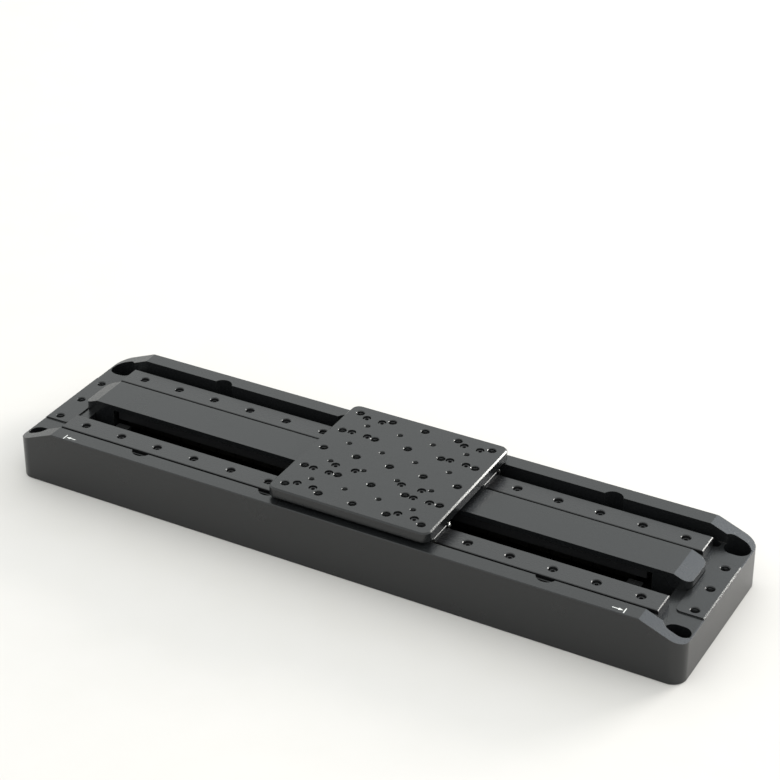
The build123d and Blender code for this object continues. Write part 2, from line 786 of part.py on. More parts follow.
def build_read_head_bracket():
    """Shim plate between the read head and the forcer bar."""
    with BuildPart() as bracket:
        with BuildSketch(Plane.XY.offset(read_head_top)):
            with Locations((carriage_position, forcer_offset)):
                RectangleRounded(bracket_length, forcer_bar_width, read_head_edge_radius)
            with Locations(*bracket_screw_places):
                Circle(shank_hole_radius(m2), mode=Mode.SUBTRACT)
        extrude(amount=forcer_bar_bottom - read_head_top)
    return bracket


def build_encoder_scale():
    """Self-adhesive steel scale on the floor of the motor bay."""
    with BuildPart() as scale:
        with BuildSketch(Plane.XY.offset(motor_bay_floor)):
            with Locations((0, forcer_offset)):
                Rectangle(scale_length, scale_width)
        extrude(amount=scale_thickness)
    return scale


# ---------------------------------------------------------------- end stops and limits
def build_end_stop(side):
    """Stop block on the floor of the motor bay."""
    with BuildPart() as stop:
        with BuildSketch(Plane.XY.offset(motor_bay_floor)):
            with Locations((side * stop_center, forcer_offset)):
                RectangleRounded(stop_thickness, stop_width, stop_edge_radius)
        extrude(amount=stop_height - motor_bay_floor)
        with Locations((side * stop_center, forcer_offset, stop_height)):
            CounterBoreHole(tapped_radius(m3), counterbore_radius(m3), m3)
    return stop


def build_bumper(side):
    """Polyurethane disc on the face of a stop block."""
    with BuildPart() as bumper:
        with BuildSketch(Plane.YZ.offset(side * stop_start)):
            with Locations((forcer_offset, bumper_height)):
                Circle(bumper_diameter / 2)
        extrude(amount=-side * bumper_thickness)
    return bumper


def build_limit_sensor(side):
    """Slotted light barrier on the floor of the front trough."""
    leg_center = side * (sensor_start + sensor_leg_length / 2)
    foot_center = side * (sensor_start + sensor_foot_length / 2)
    with BuildPart() as sensor:
        with BuildSketch(Plane.XY.offset(trough_floor)):
            with Locations((foot_center, -trough_center)):
                Rectangle(sensor_foot_length, sensor_width)
            with Locations((side * sensor_screw_x, -trough_center)):
                Circle(tapped_radius(m2), mode=Mode.SUBTRACT)
        extrude(amount=sensor_foot_height)
        with BuildSketch(Plane.XY.offset(trough_floor + sensor_foot_height)):
            with Locations((leg_center, -trough_center)):
                Rectangle(sensor_leg_length, sensor_width)
                Rectangle(sensor_leg_length, sensor_slit_width, mode=Mode.SUBTRACT)
        extrude(amount=sensor_height - sensor_foot_height)
    return sensor


def build_limit_vane():
    """Bent sheet flag under the plate that enters the light barriers."""
    front = -trough_center - vane_thickness / 2
    with BuildPart() as vane:
        with BuildSketch(Plane.XY.offset(vane_bottom)):
            with Locations((carriage_position, -trough_center)):
                Rectangle(vane_length, vane_thickness)
        extrude(amount=plate_bottom - vane_bottom)
        with BuildSketch(Plane.XY.offset(plate_bottom - vane_foot_thickness)):
            with Locations((carriage_position, front + (vane_foot_width + vane_thickness) / 2)):
                Rectangle(vane_length, vane_foot_width + vane_thickness)
            with Locations(*vane_screw_places):
                Circle(shank_hole_radius(m2), mode=Mode.SUBTRACT)
        extrude(amount=vane_foot_thickness)
    return vane


# ---------------------------------------------------------------- connectors
def encoder_shell_outline(growth):
    """D-shaped outline of the encoder connector's shell in the current sketch."""
    with Locations((encoder_port_offset, connector_line_height)):
        shell = Trapezoid(encoder_shell_width + growth, encoder_shell_height + growth,
                          90 - encoder_shell_taper)
    fillet(shell.vertices(), encoder_flange_radius)


def build_encoder_connector_shell():
    """Pressed steel flange and D-shaped shell of the encoder connector."""
    with BuildPart() as shell:
        with BuildSketch(Plane.YZ.offset(connector_wall)):
            with Locations((encoder_port_offset, connector_line_height)):
                RectangleRounded(encoder_flange_width, encoder_flange_height,
                                 encoder_flange_radius)
            with Locations(*jack_post_places):
                Circle(tapped_radius(m3), mode=Mode.SUBTRACT)
        extrude(amount=-encoder_flange_thickness)
        with BuildSketch(Plane.YZ.offset(connector_wall)):
            encoder_shell_outline(0)
        extrude(amount=-encoder_shell_length)
        with BuildSketch(Plane.YZ.offset(connector_wall)):
            encoder_shell_outline(-2 * encoder_shell_wall)
        extrude(amount=-encoder_shell_length, mode=Mode.SUBTRACT)
    return shell


def build_encoder_connector_insert():
    """Plastic insert inside the shell, with its body in the wall behind."""
    with BuildPart() as insert:
        with BuildSketch(Plane.YZ.offset(connector_wall)):
            encoder_shell_outline(-2 * encoder_shell_wall)
        extrude(amount=-(encoder_shell_length - encoder_insert_depth))
        with BuildSketch(Plane.YZ.offset(connector_wall)):
            with Locations((encoder_port_offset, connector_line_height)):
                Rectangle(encoder_shell_width, encoder_shell_height)
        extrude(amount=encoder_body_length)
    return insert


def build_jack_posts():
    """Two hexagonal posts that hold the encoder connector and take its plug's screws."""
    seat = connector_wall - encoder_flange_thickness
    with BuildPart() as posts:
        with BuildSketch(Plane.YZ.offset(seat)):
            with Locations(*jack_post_places):
                RegularPolygon(jack_post_width / 2, 6, major_radius=False)
        extrude(amount=-jack_post_length)
        with BuildSketch(Plane.YZ.offset(seat)):
            with Locations(*jack_post_places):
                Circle(m3 / 2)
        extrude(amount=jack_post_thread_length)
        with BuildSketch(Plane.YZ.offset(seat - jack_post_length)):
            with Locations(*jack_post_places):
                Circle(m3 / 2)
        extrude(amount=jack_post_tap_depth, mode=Mode.SUBTRACT)
    return posts


def build_motor_connector_body():
    """Round connector: flange on the wall, threaded tail, open barrel outwards."""
    axis_plane = Plane(origin=(connector_wall, motor_port_offset, connector_line_height),
                       x_dir=(-1, 0, 0), z_dir=(0, -1, 0))
    barrel_bore = motor_barrel_diameter / 2 - motor_barrel_wall
    with BuildPart() as body:
        with BuildSketch(axis_plane):
            with BuildLine():
                Polyline((-motor_thread_length, 0),
                         (-motor_thread_length, motor_thread_diameter / 2),
                         (0, motor_thread_diameter / 2),
                         (0, motor_flange_diameter / 2),
                         (motor_flange_thickness, motor_flange_diameter / 2),
                         (motor_flange_thickness, motor_barrel_diameter / 2),
                         (motor_barrel_length, motor_barrel_diameter / 2),
                         (motor_barrel_length, barrel_bore),
                         (0, barrel_bore),
                         (0, 0), close=True)
            make_face()
        revolve(axis=Axis((connector_wall, motor_port_offset, connector_line_height),
                          (-1, 0, 0)))
    return body


def build_motor_connector_insert():
    """Plastic pin carrier inside the round connector."""
    with BuildPart() as insert:
        with BuildSketch(Plane.YZ.offset(connector_wall)):
            with Locations((motor_port_offset, connector_line_height)):
                Circle(motor_barrel_diameter / 2 - motor_barrel_wall)
        extrude(amount=-(motor_barrel_length - motor_insert_depth))
    return insert


# ---------------------------------------------------------------- build and export
os.makedirs("parts", exist_ok=True)

save(build_base(), "base")

for name, side in SIDES:
    save(build_rail(side * rail_offset), f"{name}_rail")
    save(socket_screws(rows(rail_holes_x, (side * rail_offset,)),
                       rail_top - rail_counterbore_depth, m3, rail_screw_length),
         f"{name}_rail_screws")

for side_name, side_y in SIDES:
    for end_name, side_x in ENDS:
        block_center = (carriage_position + side_x * block_spacing / 2, side_y * rail_offset)
        corner = f"{side_name}_{end_name}"
        save(build_block(block_center), f"{corner}_bearing_block")
        save(build_end_cap(block_center, side_x), f"{corner}_outer_end_cap")
        save(build_end_cap(block_center, -side_x), f"{corner}_inner_end_cap")
save(build_end_seals(), "bearing_end_seals")

save(build_carriage_plate(), "carriage_plate")
save(socket_screws(block_screw_places, plate_screw_seat, m3, block_screw_length),
     "block_screws")

save(build_track_lower_plate(), "track_lower_plate")
save(build_track_web(), "track_web")
save(build_track_upper_plate(), "track_upper_plate")
save(build_magnets(lower_plate_top), "lower_magnets")
save(build_magnets(upper_plate_bottom - magnet_thickness), "upper_magnets")
save(socket_screws(web_screw_places, web_screw_seat, m3, web_screw_length),
     "track_web_screws")
save(socket_screws(track_screw_places, underside_screw_seat, m4, track_screw_length, -1),
     "track_base_screws")
save(build_motor_cover(), "motor_cover")
save(socket_screws(cover_screw_places, underside_screw_seat, m4, cover_screw_length, -1),
     "motor_cover_screws")

save(build_forcer_bar(), "forcer_bar")
save(build_coil(), "motor_coil")
save(socket_screws(forcer_screw_places, plate_screw_seat, m3, forcer_screw_length),
     "forcer_screws")
save(build_encoder_scale(), "encoder_scale")
save(build_read_head(), "encoder_read_head")
save(build_read_head_bracket(), "read_head_bracket")
save(socket_screws(bracket_screw_places, read_head_top, m2, bracket_screw_length, -1),
     "read_head_bracket_screws")

for name, side in ENDS:
    save(build_end_stop(side), f"{name}_end_stop")
    save(build_bumper(side), f"{name}_bumper")
    save(build_limit_sensor(side), f"{name}_limit_sensor")
save(socket_screws(stop_screw_places, stop_height - m3, m3, stop_screw_length),
     "end_stop_screws")
save(socket_screws(sensor_screw_places, trough_floor + sensor_foot_height, m2,
                   sensor_screw_length + sensor_foot_height), "limit_sensor_screws")
save(build_limit_vane(), "limit_vane")
save(socket_screws(vane_screw_places, plate_bottom - vane_foot_thickness, m2,
                   vane_screw_length, -1), "limit_vane_screws")

save(build_encoder_connector_shell(), "encoder_connector_shell")
save(build_encoder_connector_insert(), "encoder_connector_insert")
save(build_jack_posts(), "encoder_jack_posts")
save(build_motor_connector_body(), "motor_connector_body")
save(build_motor_connector_insert(), "motor_connector_insert")
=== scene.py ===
import json
from math import cos, pi, radians, sin

import bmesh
import bpy
from mathutils import Matrix, Vector

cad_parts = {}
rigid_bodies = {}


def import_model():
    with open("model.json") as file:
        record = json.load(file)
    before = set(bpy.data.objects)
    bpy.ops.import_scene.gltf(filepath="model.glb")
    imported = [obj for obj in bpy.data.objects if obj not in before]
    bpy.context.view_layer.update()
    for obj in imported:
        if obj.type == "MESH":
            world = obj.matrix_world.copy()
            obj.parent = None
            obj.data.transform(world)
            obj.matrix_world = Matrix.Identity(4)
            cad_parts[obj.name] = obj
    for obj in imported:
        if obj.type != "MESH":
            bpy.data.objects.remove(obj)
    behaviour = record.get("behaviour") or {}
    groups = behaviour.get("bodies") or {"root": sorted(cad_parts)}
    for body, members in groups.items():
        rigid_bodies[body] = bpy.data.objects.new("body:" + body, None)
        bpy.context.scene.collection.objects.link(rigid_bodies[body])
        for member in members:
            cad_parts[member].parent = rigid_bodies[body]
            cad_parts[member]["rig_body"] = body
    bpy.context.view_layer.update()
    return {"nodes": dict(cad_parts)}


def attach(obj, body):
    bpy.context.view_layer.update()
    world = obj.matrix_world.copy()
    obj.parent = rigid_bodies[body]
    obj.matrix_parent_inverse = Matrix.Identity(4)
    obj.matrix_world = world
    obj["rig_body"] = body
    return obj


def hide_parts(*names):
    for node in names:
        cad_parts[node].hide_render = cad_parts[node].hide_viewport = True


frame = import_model()


# ------------------------------------------------------------------ Base
# One long block of aluminium, milled on every face, blasted to a fine matt grain and
# black anodised. Its broken edges are painted lighter: a painted highlight, with their thinner dye.
MM = 0.001
crease_angle = radians(21)
edge_break = 0.25 * MM
pad_tap_x = 241.3
tap_spacing = 25.4
end_pad_top = 30.6


def linear(hex_colour):
    """Linear RGBA of an sRGB hex colour."""
    channels = [int(hex_colour[i:i + 2], 16) / 255 for i in (1, 3, 5)]
    return [c / 12.92 if c <= 0.04045 else ((c + 0.055) / 1.055) ** 2.4 for c in channels] + [1.0]


def add(tree, kind, inputs=(), **settings):
    """Add a node, set its properties, and fill or link its inputs."""
    node = tree.nodes.new(kind)
    for key, value in settings.items():
        setattr(node, key, value)
    for key, value in dict(inputs).items():
        if isinstance(value, bpy.types.NodeSocket):
            tree.links.new(value, node.inputs[key])
        else:
            node.inputs[key].default_value = value
    return node


def new_material(name):
    """An empty node material and its tree."""
    material = bpy.data.materials.new(name)
    material.use_nodes = True
    material.node_tree.nodes.clear()
    return material, material.node_tree


def finish_material(tree, shader):
    """Send a shader to the surface."""
    add(tree, "ShaderNodeOutputMaterial", {"Surface": shader.outputs[0]})


def anodised(name, dye, thin_dye_and_edge_highlight, grain, roughness):
    """Blasted and black anodised aluminium: a fine grain in height, gloss and dye.

    The real grain of about 0.1 mm is too fine to show, so it is drawn as coarse as
    it needs to be, which gives the eye a soft sparkle and not a flat grey.
    """
    material, tree = new_material(name)
    place = add(tree, "ShaderNodeTexCoord").outputs["Object"]
    grit = add(tree, "ShaderNodeTexNoise", {
        "Vector": place, "Scale": 1 / grain, "Detail": 3, "Roughness": 0.6}).outputs["Fac"]
    cloud = add(tree, "ShaderNodeTexNoise", {
        "Vector": place, "Scale": 1 / (35 * MM), "Detail": 3, "Roughness": 0.5}).outputs["Fac"]
    rounded = add(tree, "ShaderNodeBevel", {"Radius": edge_break}, samples=4).outputs["Normal"]
    flat = add(tree, "ShaderNodeNewGeometry").outputs["Normal"]
    facing = add(tree, "ShaderNodeVectorMath", {0: rounded, 1: flat},
                 operation="DOT_PRODUCT").outputs["Value"]
    # edge mask: here the colour is painted lighter, a painted highlight along every edge together
    # with the thinner dye there
    edge = add(tree, "ShaderNodeMapRange", {
        "Value": facing, "From Min": 0.98, "From Max": 0.80, "To Min": 0, "To Max": 1}).outputs[0]
    edge_highlight_and_thin_dye_mask = add(tree, "ShaderNodeMath", {0: edge, 1: cloud}, operation="MULTIPLY").outputs[0]
    speckle = add(tree, "ShaderNodeMapRange", {
        "Value": grit, "From Min": 0.35, "From Max": 0.65, "To Min": 0.75, "To Max": 1.25}).outputs[0]
    dyed_with_painted_edge_highlight = add(tree, "ShaderNodeMix", {0: edge_highlight_and_thin_dye_mask, 6: dye, 7: thin_dye_and_edge_highlight}, data_type="RGBA").outputs[2]
    speckled = add(tree, "ShaderNodeVectorMath", {0: dyed_with_painted_edge_highlight, "Scale": speckle},
                   operation="SCALE").outputs[0]
    gloss = add(tree, "ShaderNodeMapRange", {
        "Value": cloud, "From Min": 0.3, "From Max": 0.7,
        "To Min": roughness - 0.02, "To Max": roughness + 0.03}).outputs[0]
    relief = add(tree, "ShaderNodeBump", {
        "Height": grit, "Strength": 0.4, "Distance": 0.14 * grain,
        "Normal": rounded}).outputs[0]
    finish_material(tree, add(tree, "ShaderNodeBsdfPrincipled", {
        "Base Color": speckled, "Roughness": gloss, "IOR": 1.52, "Normal": relief}))
    return material


def mark_creases(shape):
    """Shade smooth, with a sharp edge wherever two faces meet at more than a small angle."""
    for face in shape.faces:
        face.smooth = True
    for edge in shape.edges:
        edge.smooth = edge.calc_face_angle(pi) < crease_angle


def dress(node_name, material):
    """A merged copy of a solid, shaded smooth between its real edges, in its finish."""
    solid = frame["nodes"][node_name]
    shape = bmesh.new()
    shape.from_mesh(solid.data)
    bmesh.ops.remove_doubles(shape, verts=shape.verts, dist=1e-6)
    mark_creases(shape)
    mesh = bpy.data.meshes.new(f"{node_name}_skin")
    shape.to_mesh(mesh)
    shape.free()
    mesh.materials.append(material)
    piece = bpy.data.objects.new(f"{node_name}_skin", mesh)
    bpy.context.scene.collection.objects.link(piece)
    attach(piece, solid["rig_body"])
    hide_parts(node_name)
    return piece


def countersink(piece, mouths, height, radius, depth):
    """Cut a short cone into the mouth of every hole; sizes in millimetres."""
    cones = bmesh.new()
    for x, y in mouths:
        place = Matrix.Translation(Vector((x, y, height)) * MM)
        bmesh.ops.create_cone(cones, cap_ends=True, segments=40, depth=2 * depth * MM,
                              radius1=(radius - depth) * MM, radius2=(radius + depth) * MM,
                              matrix=place)
    cutter_mesh = bpy.data.meshes.new("countersink_cones")
    cones.to_mesh(cutter_mesh)
    cones.free()
    cutter = bpy.data.objects.new("countersink_cones", cutter_mesh)
    bpy.context.scene.collection.objects.link(cutter)
    cut = piece.modifiers.new("countersink", "BOOLEAN")
    cut.operation = "DIFFERENCE"
    cut.object = cutter
    evaluated = piece.evaluated_get(bpy.context.evaluated_depsgraph_get())
    piece.data = bpy.data.meshes.new_from_object(evaluated)
    piece.modifiers.clear()
    bpy.data.objects.remove(cutter)
    shape = bmesh.new()
    shape.from_mesh(piece.data)
    mark_creases(shape)
    shape.to_mesh(piece.data)
    shape.free()


end_pad_taps = [(x, y) for x in (-pad_tap_x, pad_tap_x)
                for y in (-tap_spacing, 0.0, tap_spacing)]
# the second colour is the painted edge highlight, with the thinner dye of the edges
base_finish = anodised("black_anodised_blasted_base", linear("#18191a"), linear("#55514d"),
                       grain=1.3 * MM, roughness=0.25)
base_block = dress("base", base_finish)
countersink(base_block, end_pad_taps, height=end_pad_top, radius=3.4, depth=0.6)


# ------------------------------------------------------------------ Rails
# Two profile rails of hardened steel, ground along their length and then black
# coated, so that they look nearly like the base. Each has a row of screw holes.
rail_offset = 36.5


def ground_steel(name, colour, roughness, streak):
    """Ground and coated steel: long fine scratches along the travel.

    The grit of the coating is drawn coarser than it is, at 1 mm, so that it shows.
    """
    material, tree = new_material(name)
    place = add(tree, "ShaderNodeTexCoord").outputs["Object"]
    stretched = add(tree, "ShaderNodeMapping", {
        "Vector": place, "Scale": (40, 1 / streak, 1 / streak)}).outputs[0]
    scratches = add(tree, "ShaderNodeTexNoise", {
        "Vector": stretched, "Scale": 1, "Detail": 5, "Roughness": 0.7}).outputs["Fac"]
    grit = add(tree, "ShaderNodeTexNoise", {
        "Vector": place, "Scale": 1 / (1.0 * MM), "Detail": 3}).outputs["Fac"]
    shade = add(tree, "ShaderNodeMapRange", {
        "Value": scratches, "From Min": 0.3, "From Max": 0.7,
        "To Min": 0.75, "To Max": 1.3}).outputs[0]
    tone = add(tree, "ShaderNodeMapRange", {
        "Value": grit, "From Min": 0.3, "From Max": 0.7, "To Min": 0.8, "To Max": 1.2}).outputs[0]
    both = add(tree, "ShaderNodeMath", {0: shade, 1: tone}, operation="MULTIPLY").outputs[0]
    coloured = add(tree, "ShaderNodeVectorMath", {0: colour[:3], "Scale": both},
                   operation="SCALE").outputs[0]
    gloss = add(tree, "ShaderNodeMapRange", {
        "Value": scratches, "From Min": 0.3, "From Max": 0.7,
        "To Min": roughness - 0.05, "To Max": roughness + 0.06}).outputs[0]
    rounded = add(tree, "ShaderNodeBevel", {"Radius": edge_break}, samples=4).outputs["Normal"]
    relief = add(tree, "ShaderNodeBump", {
        "Height": both, "Strength": 0.3, "Distance": 0.015 * MM, "Normal": rounded}).outputs[0]
    finish_material(tree, add(tree, "ShaderNodeBsdfPrincipled", {
        "Base Color": coloured, "Roughness": gloss, "IOR": 1.56, "Normal": relief}))
    return material


rail_finish = ground_steel("black_coated_ground_rail_steel", linear("#1c1c1d"),
                           roughness=0.27, streak=0.25 * MM)
for side in ("front", "rear"):
    dress(f"{side}_rail", rail_finish)


# ------------------------------------------------------------------ Rail screws
# M3 hex socket cap screws in black oxide, one in every hole of both rails, cold
# forged with a bevelled rim and a rolled thread, tightened to any angle.
screw_head_ratio = 1.8
hex_key_ratio = 0.83
rail_screw_pitch = 30.0


def add_sockets(group, names, socket_type):
    """Named inputs of a node group."""
    for name in names:
        group.interface.new_socket(name=name, in_out="INPUT", socket_type=socket_type)


def cap_screw_tree():
    """Geometry nodes that stand one cap screw on every point, head up, seat at the point."""
    tree = bpy.data.node_groups.new("socket_cap_screws", "GeometryNodeTree")
    add_sockets(tree, ["Places"], "NodeSocketGeometry")
    add_sockets(tree, ["Thread", "Head", "Head Height", "Key", "Length", "Thread Pitch", "Tilt"],
                "NodeSocketFloat")
    add_sockets(tree, ["Turns", "Seed"], "NodeSocketInt")
    add_sockets(tree, ["Finish"], "NodeSocketMaterial")
    tree.interface.new_socket(name="Screws", in_out="OUTPUT", socket_type="NodeSocketGeometry")
    given = add(tree, "NodeGroupInput").outputs

    def times(a, b):
        return add(tree, "ShaderNodeMath", {0: a, 1: b}, operation="MULTIPLY").outputs[0]

    def lift(shape, height):
        offset = add(tree, "ShaderNodeCombineXYZ", {"Z": height}).outputs[0]
        return add(tree, "GeometryNodeTransform", {
            "Geometry": shape, "Translation": offset}).outputs[0]

    rim = times(given["Thread"], 0.09)
    straight = add(tree, "ShaderNodeMath", {0: given["Head Height"], 1: rim},
                   operation="SUBTRACT").outputs[0]
    body = add(tree, "GeometryNodeMeshCylinder", {
        "Vertices": 32, "Radius": times(given["Head"], 0.5), "Depth": straight})
    bevel = add(tree, "GeometryNodeExtrudeMesh", {
        "Mesh": body.outputs["Mesh"], "Selection": body.outputs["Top"], "Offset Scale": rim,
        "Individual": False}, mode="FACES")
    topped = add(tree, "GeometryNodeScaleElements", {
        "Geometry": bevel.outputs["Mesh"], "Selection": bevel.outputs["Top"],
        "Scale": 0.88}).outputs[0]
    head = lift(topped, times(straight, 0.5))
    key = add(tree, "GeometryNodeMeshCylinder", {
        "Vertices": 6, "Radius": times(given["Key"], 0.5 / cos(pi / 6)),
        "Depth": given["Thread"]}).outputs["Mesh"]
    socketed = add(tree, "GeometryNodeMeshBoolean", {
        0: head, 1: lift(key, given["Head Height"])}, operation="DIFFERENCE").outputs[0]
    shank = add(tree, "GeometryNodeMeshCylinder", {
        "Vertices": 16, "Radius": times(given["Thread"], 0.42),
        "Depth": given["Length"]}).outputs["Mesh"]
    shank_down = lift(shank, times(given["Length"], -0.5))
    flank = add(tree, "GeometryNodeMeshCone", {
        "Vertices": 16, "Radius Top": times(given["Thread"], 0.42),
        "Radius Bottom": times(given["Thread"], 0.49),
        "Depth": times(given["Thread Pitch"], 0.5)}, fill_type="NONE").outputs["Mesh"]
    under = add(tree, "GeometryNodeTransform", {
        "Geometry": flank, "Rotation": (pi, 0, 0)}).outputs[0]
    turn = add(tree, "GeometryNodeJoinGeometry")
    for part in (under, lift(flank, times(given["Thread Pitch"], 0.5))):
        tree.links.new(part, turn.inputs[0])
    step = add(tree, "ShaderNodeCombineXYZ", {"Z": given["Thread Pitch"]}).outputs[0]
    start = add(tree, "ShaderNodeCombineXYZ", {"Z": times(given["Length"], -1)}).outputs[0]
    ladder = add(tree, "GeometryNodeMeshLine", {
        "Count": given["Turns"], "Start Location": start, "Offset": step}).outputs[0]
    thread = add(tree, "GeometryNodeInstanceOnPoints", {
        "Points": ladder, "Instance": turn.outputs[0]}).outputs[0]
    whole = add(tree, "GeometryNodeJoinGeometry")
    for part in (thread, shank_down, socketed):
        tree.links.new(part, whole.inputs[0])
    spin = add(tree, "FunctionNodeRandomValue", {
        2: 0.0, 3: 2 * pi, "Seed": given["Seed"]}, data_type="FLOAT").outputs[1]
    turned = add(tree, "ShaderNodeCombineXYZ", {"X": given["Tilt"], "Z": spin}).outputs[0]
    placed = add(tree, "GeometryNodeInstanceOnPoints", {
        "Points": given["Places"], "Instance": whole.outputs[0], "Rotation": turned}).outputs[0]
    real = add(tree, "GeometryNodeRealizeInstances", {"Geometry": placed}).outputs[0]
    sharp = add(tree, "GeometryNodeInputMeshEdgeAngle").outputs[0]
    crease = add(tree, "FunctionNodeCompare", {0: sharp, 1: radians(25)},
                 operation="GREATER_THAN").outputs[0]
    smooth = add(tree, "GeometryNodeSetShadeSmooth", {0: real}, domain="FACE").outputs[0]
    edged = add(tree, "GeometryNodeSetShadeSmooth", {
        0: smooth, "Selection": crease, "Shade Smooth": False}, domain="EDGE").outputs[0]
    finished = add(tree, "GeometryNodeSetMaterial", {
        "Geometry": edged, "Material": given["Finish"]}).outputs[0]
    add(tree, "NodeGroupOutput", {"Screws": finished})
    return tree


def grow(name, tree, points, inputs, body):
    """Run a geometry node tree on a set of points and keep the result as one plain mesh."""
    seeds = bpy.data.meshes.new(f"{name}_places")
    seeds.from_pydata([tuple(point) for point in points], [], [])
    maker = bpy.data.objects.new(f"{name}_places", seeds)
    bpy.context.scene.collection.objects.link(maker)
    modifier = maker.modifiers.new("grow", "NODES")
    modifier.node_group = tree
    for item in tree.interface.items_tree:
        if item.in_out == "INPUT" and item.name in inputs:
            modifier[item.identifier] = inputs[item.name]
    evaluated = maker.evaluated_get(bpy.context.evaluated_depsgraph_get())
    mesh = bpy.data.meshes.new_from_object(evaluated)
    mesh.name = name
    bpy.data.objects.remove(maker)
    piece = bpy.data.objects.new(name, mesh)
    bpy.context.scene.collection.objects.link(piece)
    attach(piece, body)
    return piece


def oxide_steel(name, colour, roughness):
    """Black oxide on steel: blotchy and slightly oily, in random lighter grey blotches."""
    material, tree = new_material(name)
    place = add(tree, "ShaderNodeTexCoord").outputs["Object"]
    blotch = add(tree, "ShaderNodeTexNoise", {
        "Vector": place, "Scale": 1 / (0.8 * MM), "Detail": 4}).outputs["Fac"]
    tint = add(tree, "ShaderNodeMix", {
        0: blotch, 6: colour, 7: [1.9 * c for c in colour[:3]] + [1.0]}, data_type="RGBA").outputs[2]
    gloss = add(tree, "ShaderNodeMapRange", {
        "Value": blotch, "From Min": 0.3, "From Max": 0.7,
        "To Min": roughness - 0.06, "To Max": roughness + 0.08}).outputs[0]
    relief = add(tree, "ShaderNodeBump", {
        "Height": blotch, "Strength": 0.3, "Distance": 0.02 * MM}).outputs[0]
    finish_material(tree, add(tree, "ShaderNodeBsdfPrincipled", {
        "Base Color": tint, "Roughness": gloss, "IOR": 1.6, "Normal": relief}))
    return material


cap_screws = cap_screw_tree()
screw_finish = oxide_steel("black_oxide_screw_steel", linear("#161617"), roughness=0.30)
# darker than the other screws: painted shade of the rail counterbores these screws sit in
sunk_screw_painted_shade_finish = oxide_steel("black_oxide_screw_steel_painted_shade", linear("#0e0e0f"),
                                roughness=0.5)


def fit_screws(node_name, xy_places, seat, thread, length, pitch, seed, facing_up=True,
               head_height=None, finish=screw_finish):
    """Cap screws in place of a screw node, all on one seat height; sizes in millimetres."""
    points = [Vector((x, y, seat)) * MM for x, y in xy_places]
    piece = grow(f"{node_name}_forged", cap_screws, points, {
        "Thread": thread * MM, "Head": thread * screw_head_ratio * MM,
        "Head Height": (head_height or thread) * MM,
        "Key": thread * hex_key_ratio * MM, "Length": length * MM,
        "Thread Pitch": pitch * MM, "Turns": int((length - 0.5) / pitch), "Seed": seed,
        "Tilt": 0.0 if facing_up else pi, "Finish": finish},
        frame["nodes"][node_name]["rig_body"])
    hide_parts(node_name)
    return piece


rail_screw_x = [rail_screw_pitch * step for step in range(-7, 8)]
# rail screws in the darker finish, which is painted shade of their counterbores
for side, rail_y, seed in (("front", -rail_offset, 1), ("rear", rail_offset, 2)):
    fit_screws(f"{side}_rail_screws", [(x, rail_y) for x in rail_screw_x], seat=32.65,
               thread=3.0, length=8.0, pitch=0.5, seed=seed, head_height=2.6,
               finish=sunk_screw_painted_shade_finish)


# ------------------------------------------------------------------ Motor track
# Two bars of mild steel back iron and a steel web make a U on its side. They are
# ground and black oxidised, and screwed together from above and below.
underside_seat = 5.8
track_steel = ground_steel("black_oxide_ground_back_iron", linear("#161617"),
                           roughness=0.42, streak=0.4 * MM)
for node_name in ("track_lower_plate", "track_web", "track_upper_plate"):
    dress(node_name, track_steel)
track_screw_x = [76.0 * step for step in range(-2, 3)]
fit_screws("track_web_screws", [(x, 13.55) for x in track_screw_x], seat=32.9,
           thread=3.0, length=18.0, pitch=0.5, seed=3)
fit_screws("track_base_screws", [(x, 0.95) for x in track_screw_x], seat=underside_seat,
           thread=4.0, length=11.8, pitch=0.7, seed=4, facing_up=False)


# ------------------------------------------------------------------ Magnets
# Neodymium blocks, bonded to both back irons with alternate poles up. Their black
# nickel plating is dark and even, with a soft waviness.


def plated_metal(name, colour, roughness):
    """Nickel, zinc or gold plate: bright, with a soft orange-peel waviness."""
    material, tree = new_material(name)
    place = add(tree, "ShaderNodeTexCoord").outputs["Object"]
    peel = add(tree, "ShaderNodeTexNoise", {
        "Vector": place, "Scale": 1 / (1.2 * MM), "Detail": 3}).outputs["Fac"]
    tint = add(tree, "ShaderNodeMix", {
        0: peel, 6: colour, 7: [0.86 * c for c in colour[:3]] + [1.0]}, data_type="RGBA").outputs[2]
    gloss = add(tree, "ShaderNodeMapRange", {
        "Value": peel, "From Min": 0.3, "From Max": 0.7,
        "To Min": roughness - 0.05, "To Max": roughness + 0.08}).outputs[0]
    relief = add(tree, "ShaderNodeBump", {
        "Height": peel, "Strength": 0.2, "Distance": 0.01 * MM}).outputs[0]
    finish_material(tree, add(tree, "ShaderNodeBsdfPrincipled", {
        "Base Color": tint, "Metallic": 1.0, "Roughness": gloss, "Normal": relief}))
    return material


magnet_finish = plated_metal("black_nickel_plated_magnet", linear("#35332f"), roughness=0.34)
for node_name in ("lower_magnets", "upper_magnets"):
    dress(node_name, magnet_finish)


# ------------------------------------------------------------------ Motor cover
# The ridge over the track: an aluminium extrusion with machined ends, bevelled and
# rounded, blasted and anodised with the base, held from below by four screws.
cover_finish = anodised("black_anodised_blasted_cover", linear("#18191a"), linear("#55514d"),
                        grain=1.3 * MM, roughness=0.25)
dress("motor_cover", cover_finish)
fit_screws("motor_cover_screws", [(x, y) for x in (-214.0, 214.0) for y in (-2.15, 13.85)],
           seat=underside_seat, thread=4.0, length=16.0, pitch=0.7, seed=5, facing_up=False)


# ------------------------------------------------------------------ Encoder scale
# A self-adhesive stainless steel tape on the floor of the motor bay, with fine dark
# etched lines across its shiny centre track.
scale_line_pitch = 0.4 * MM


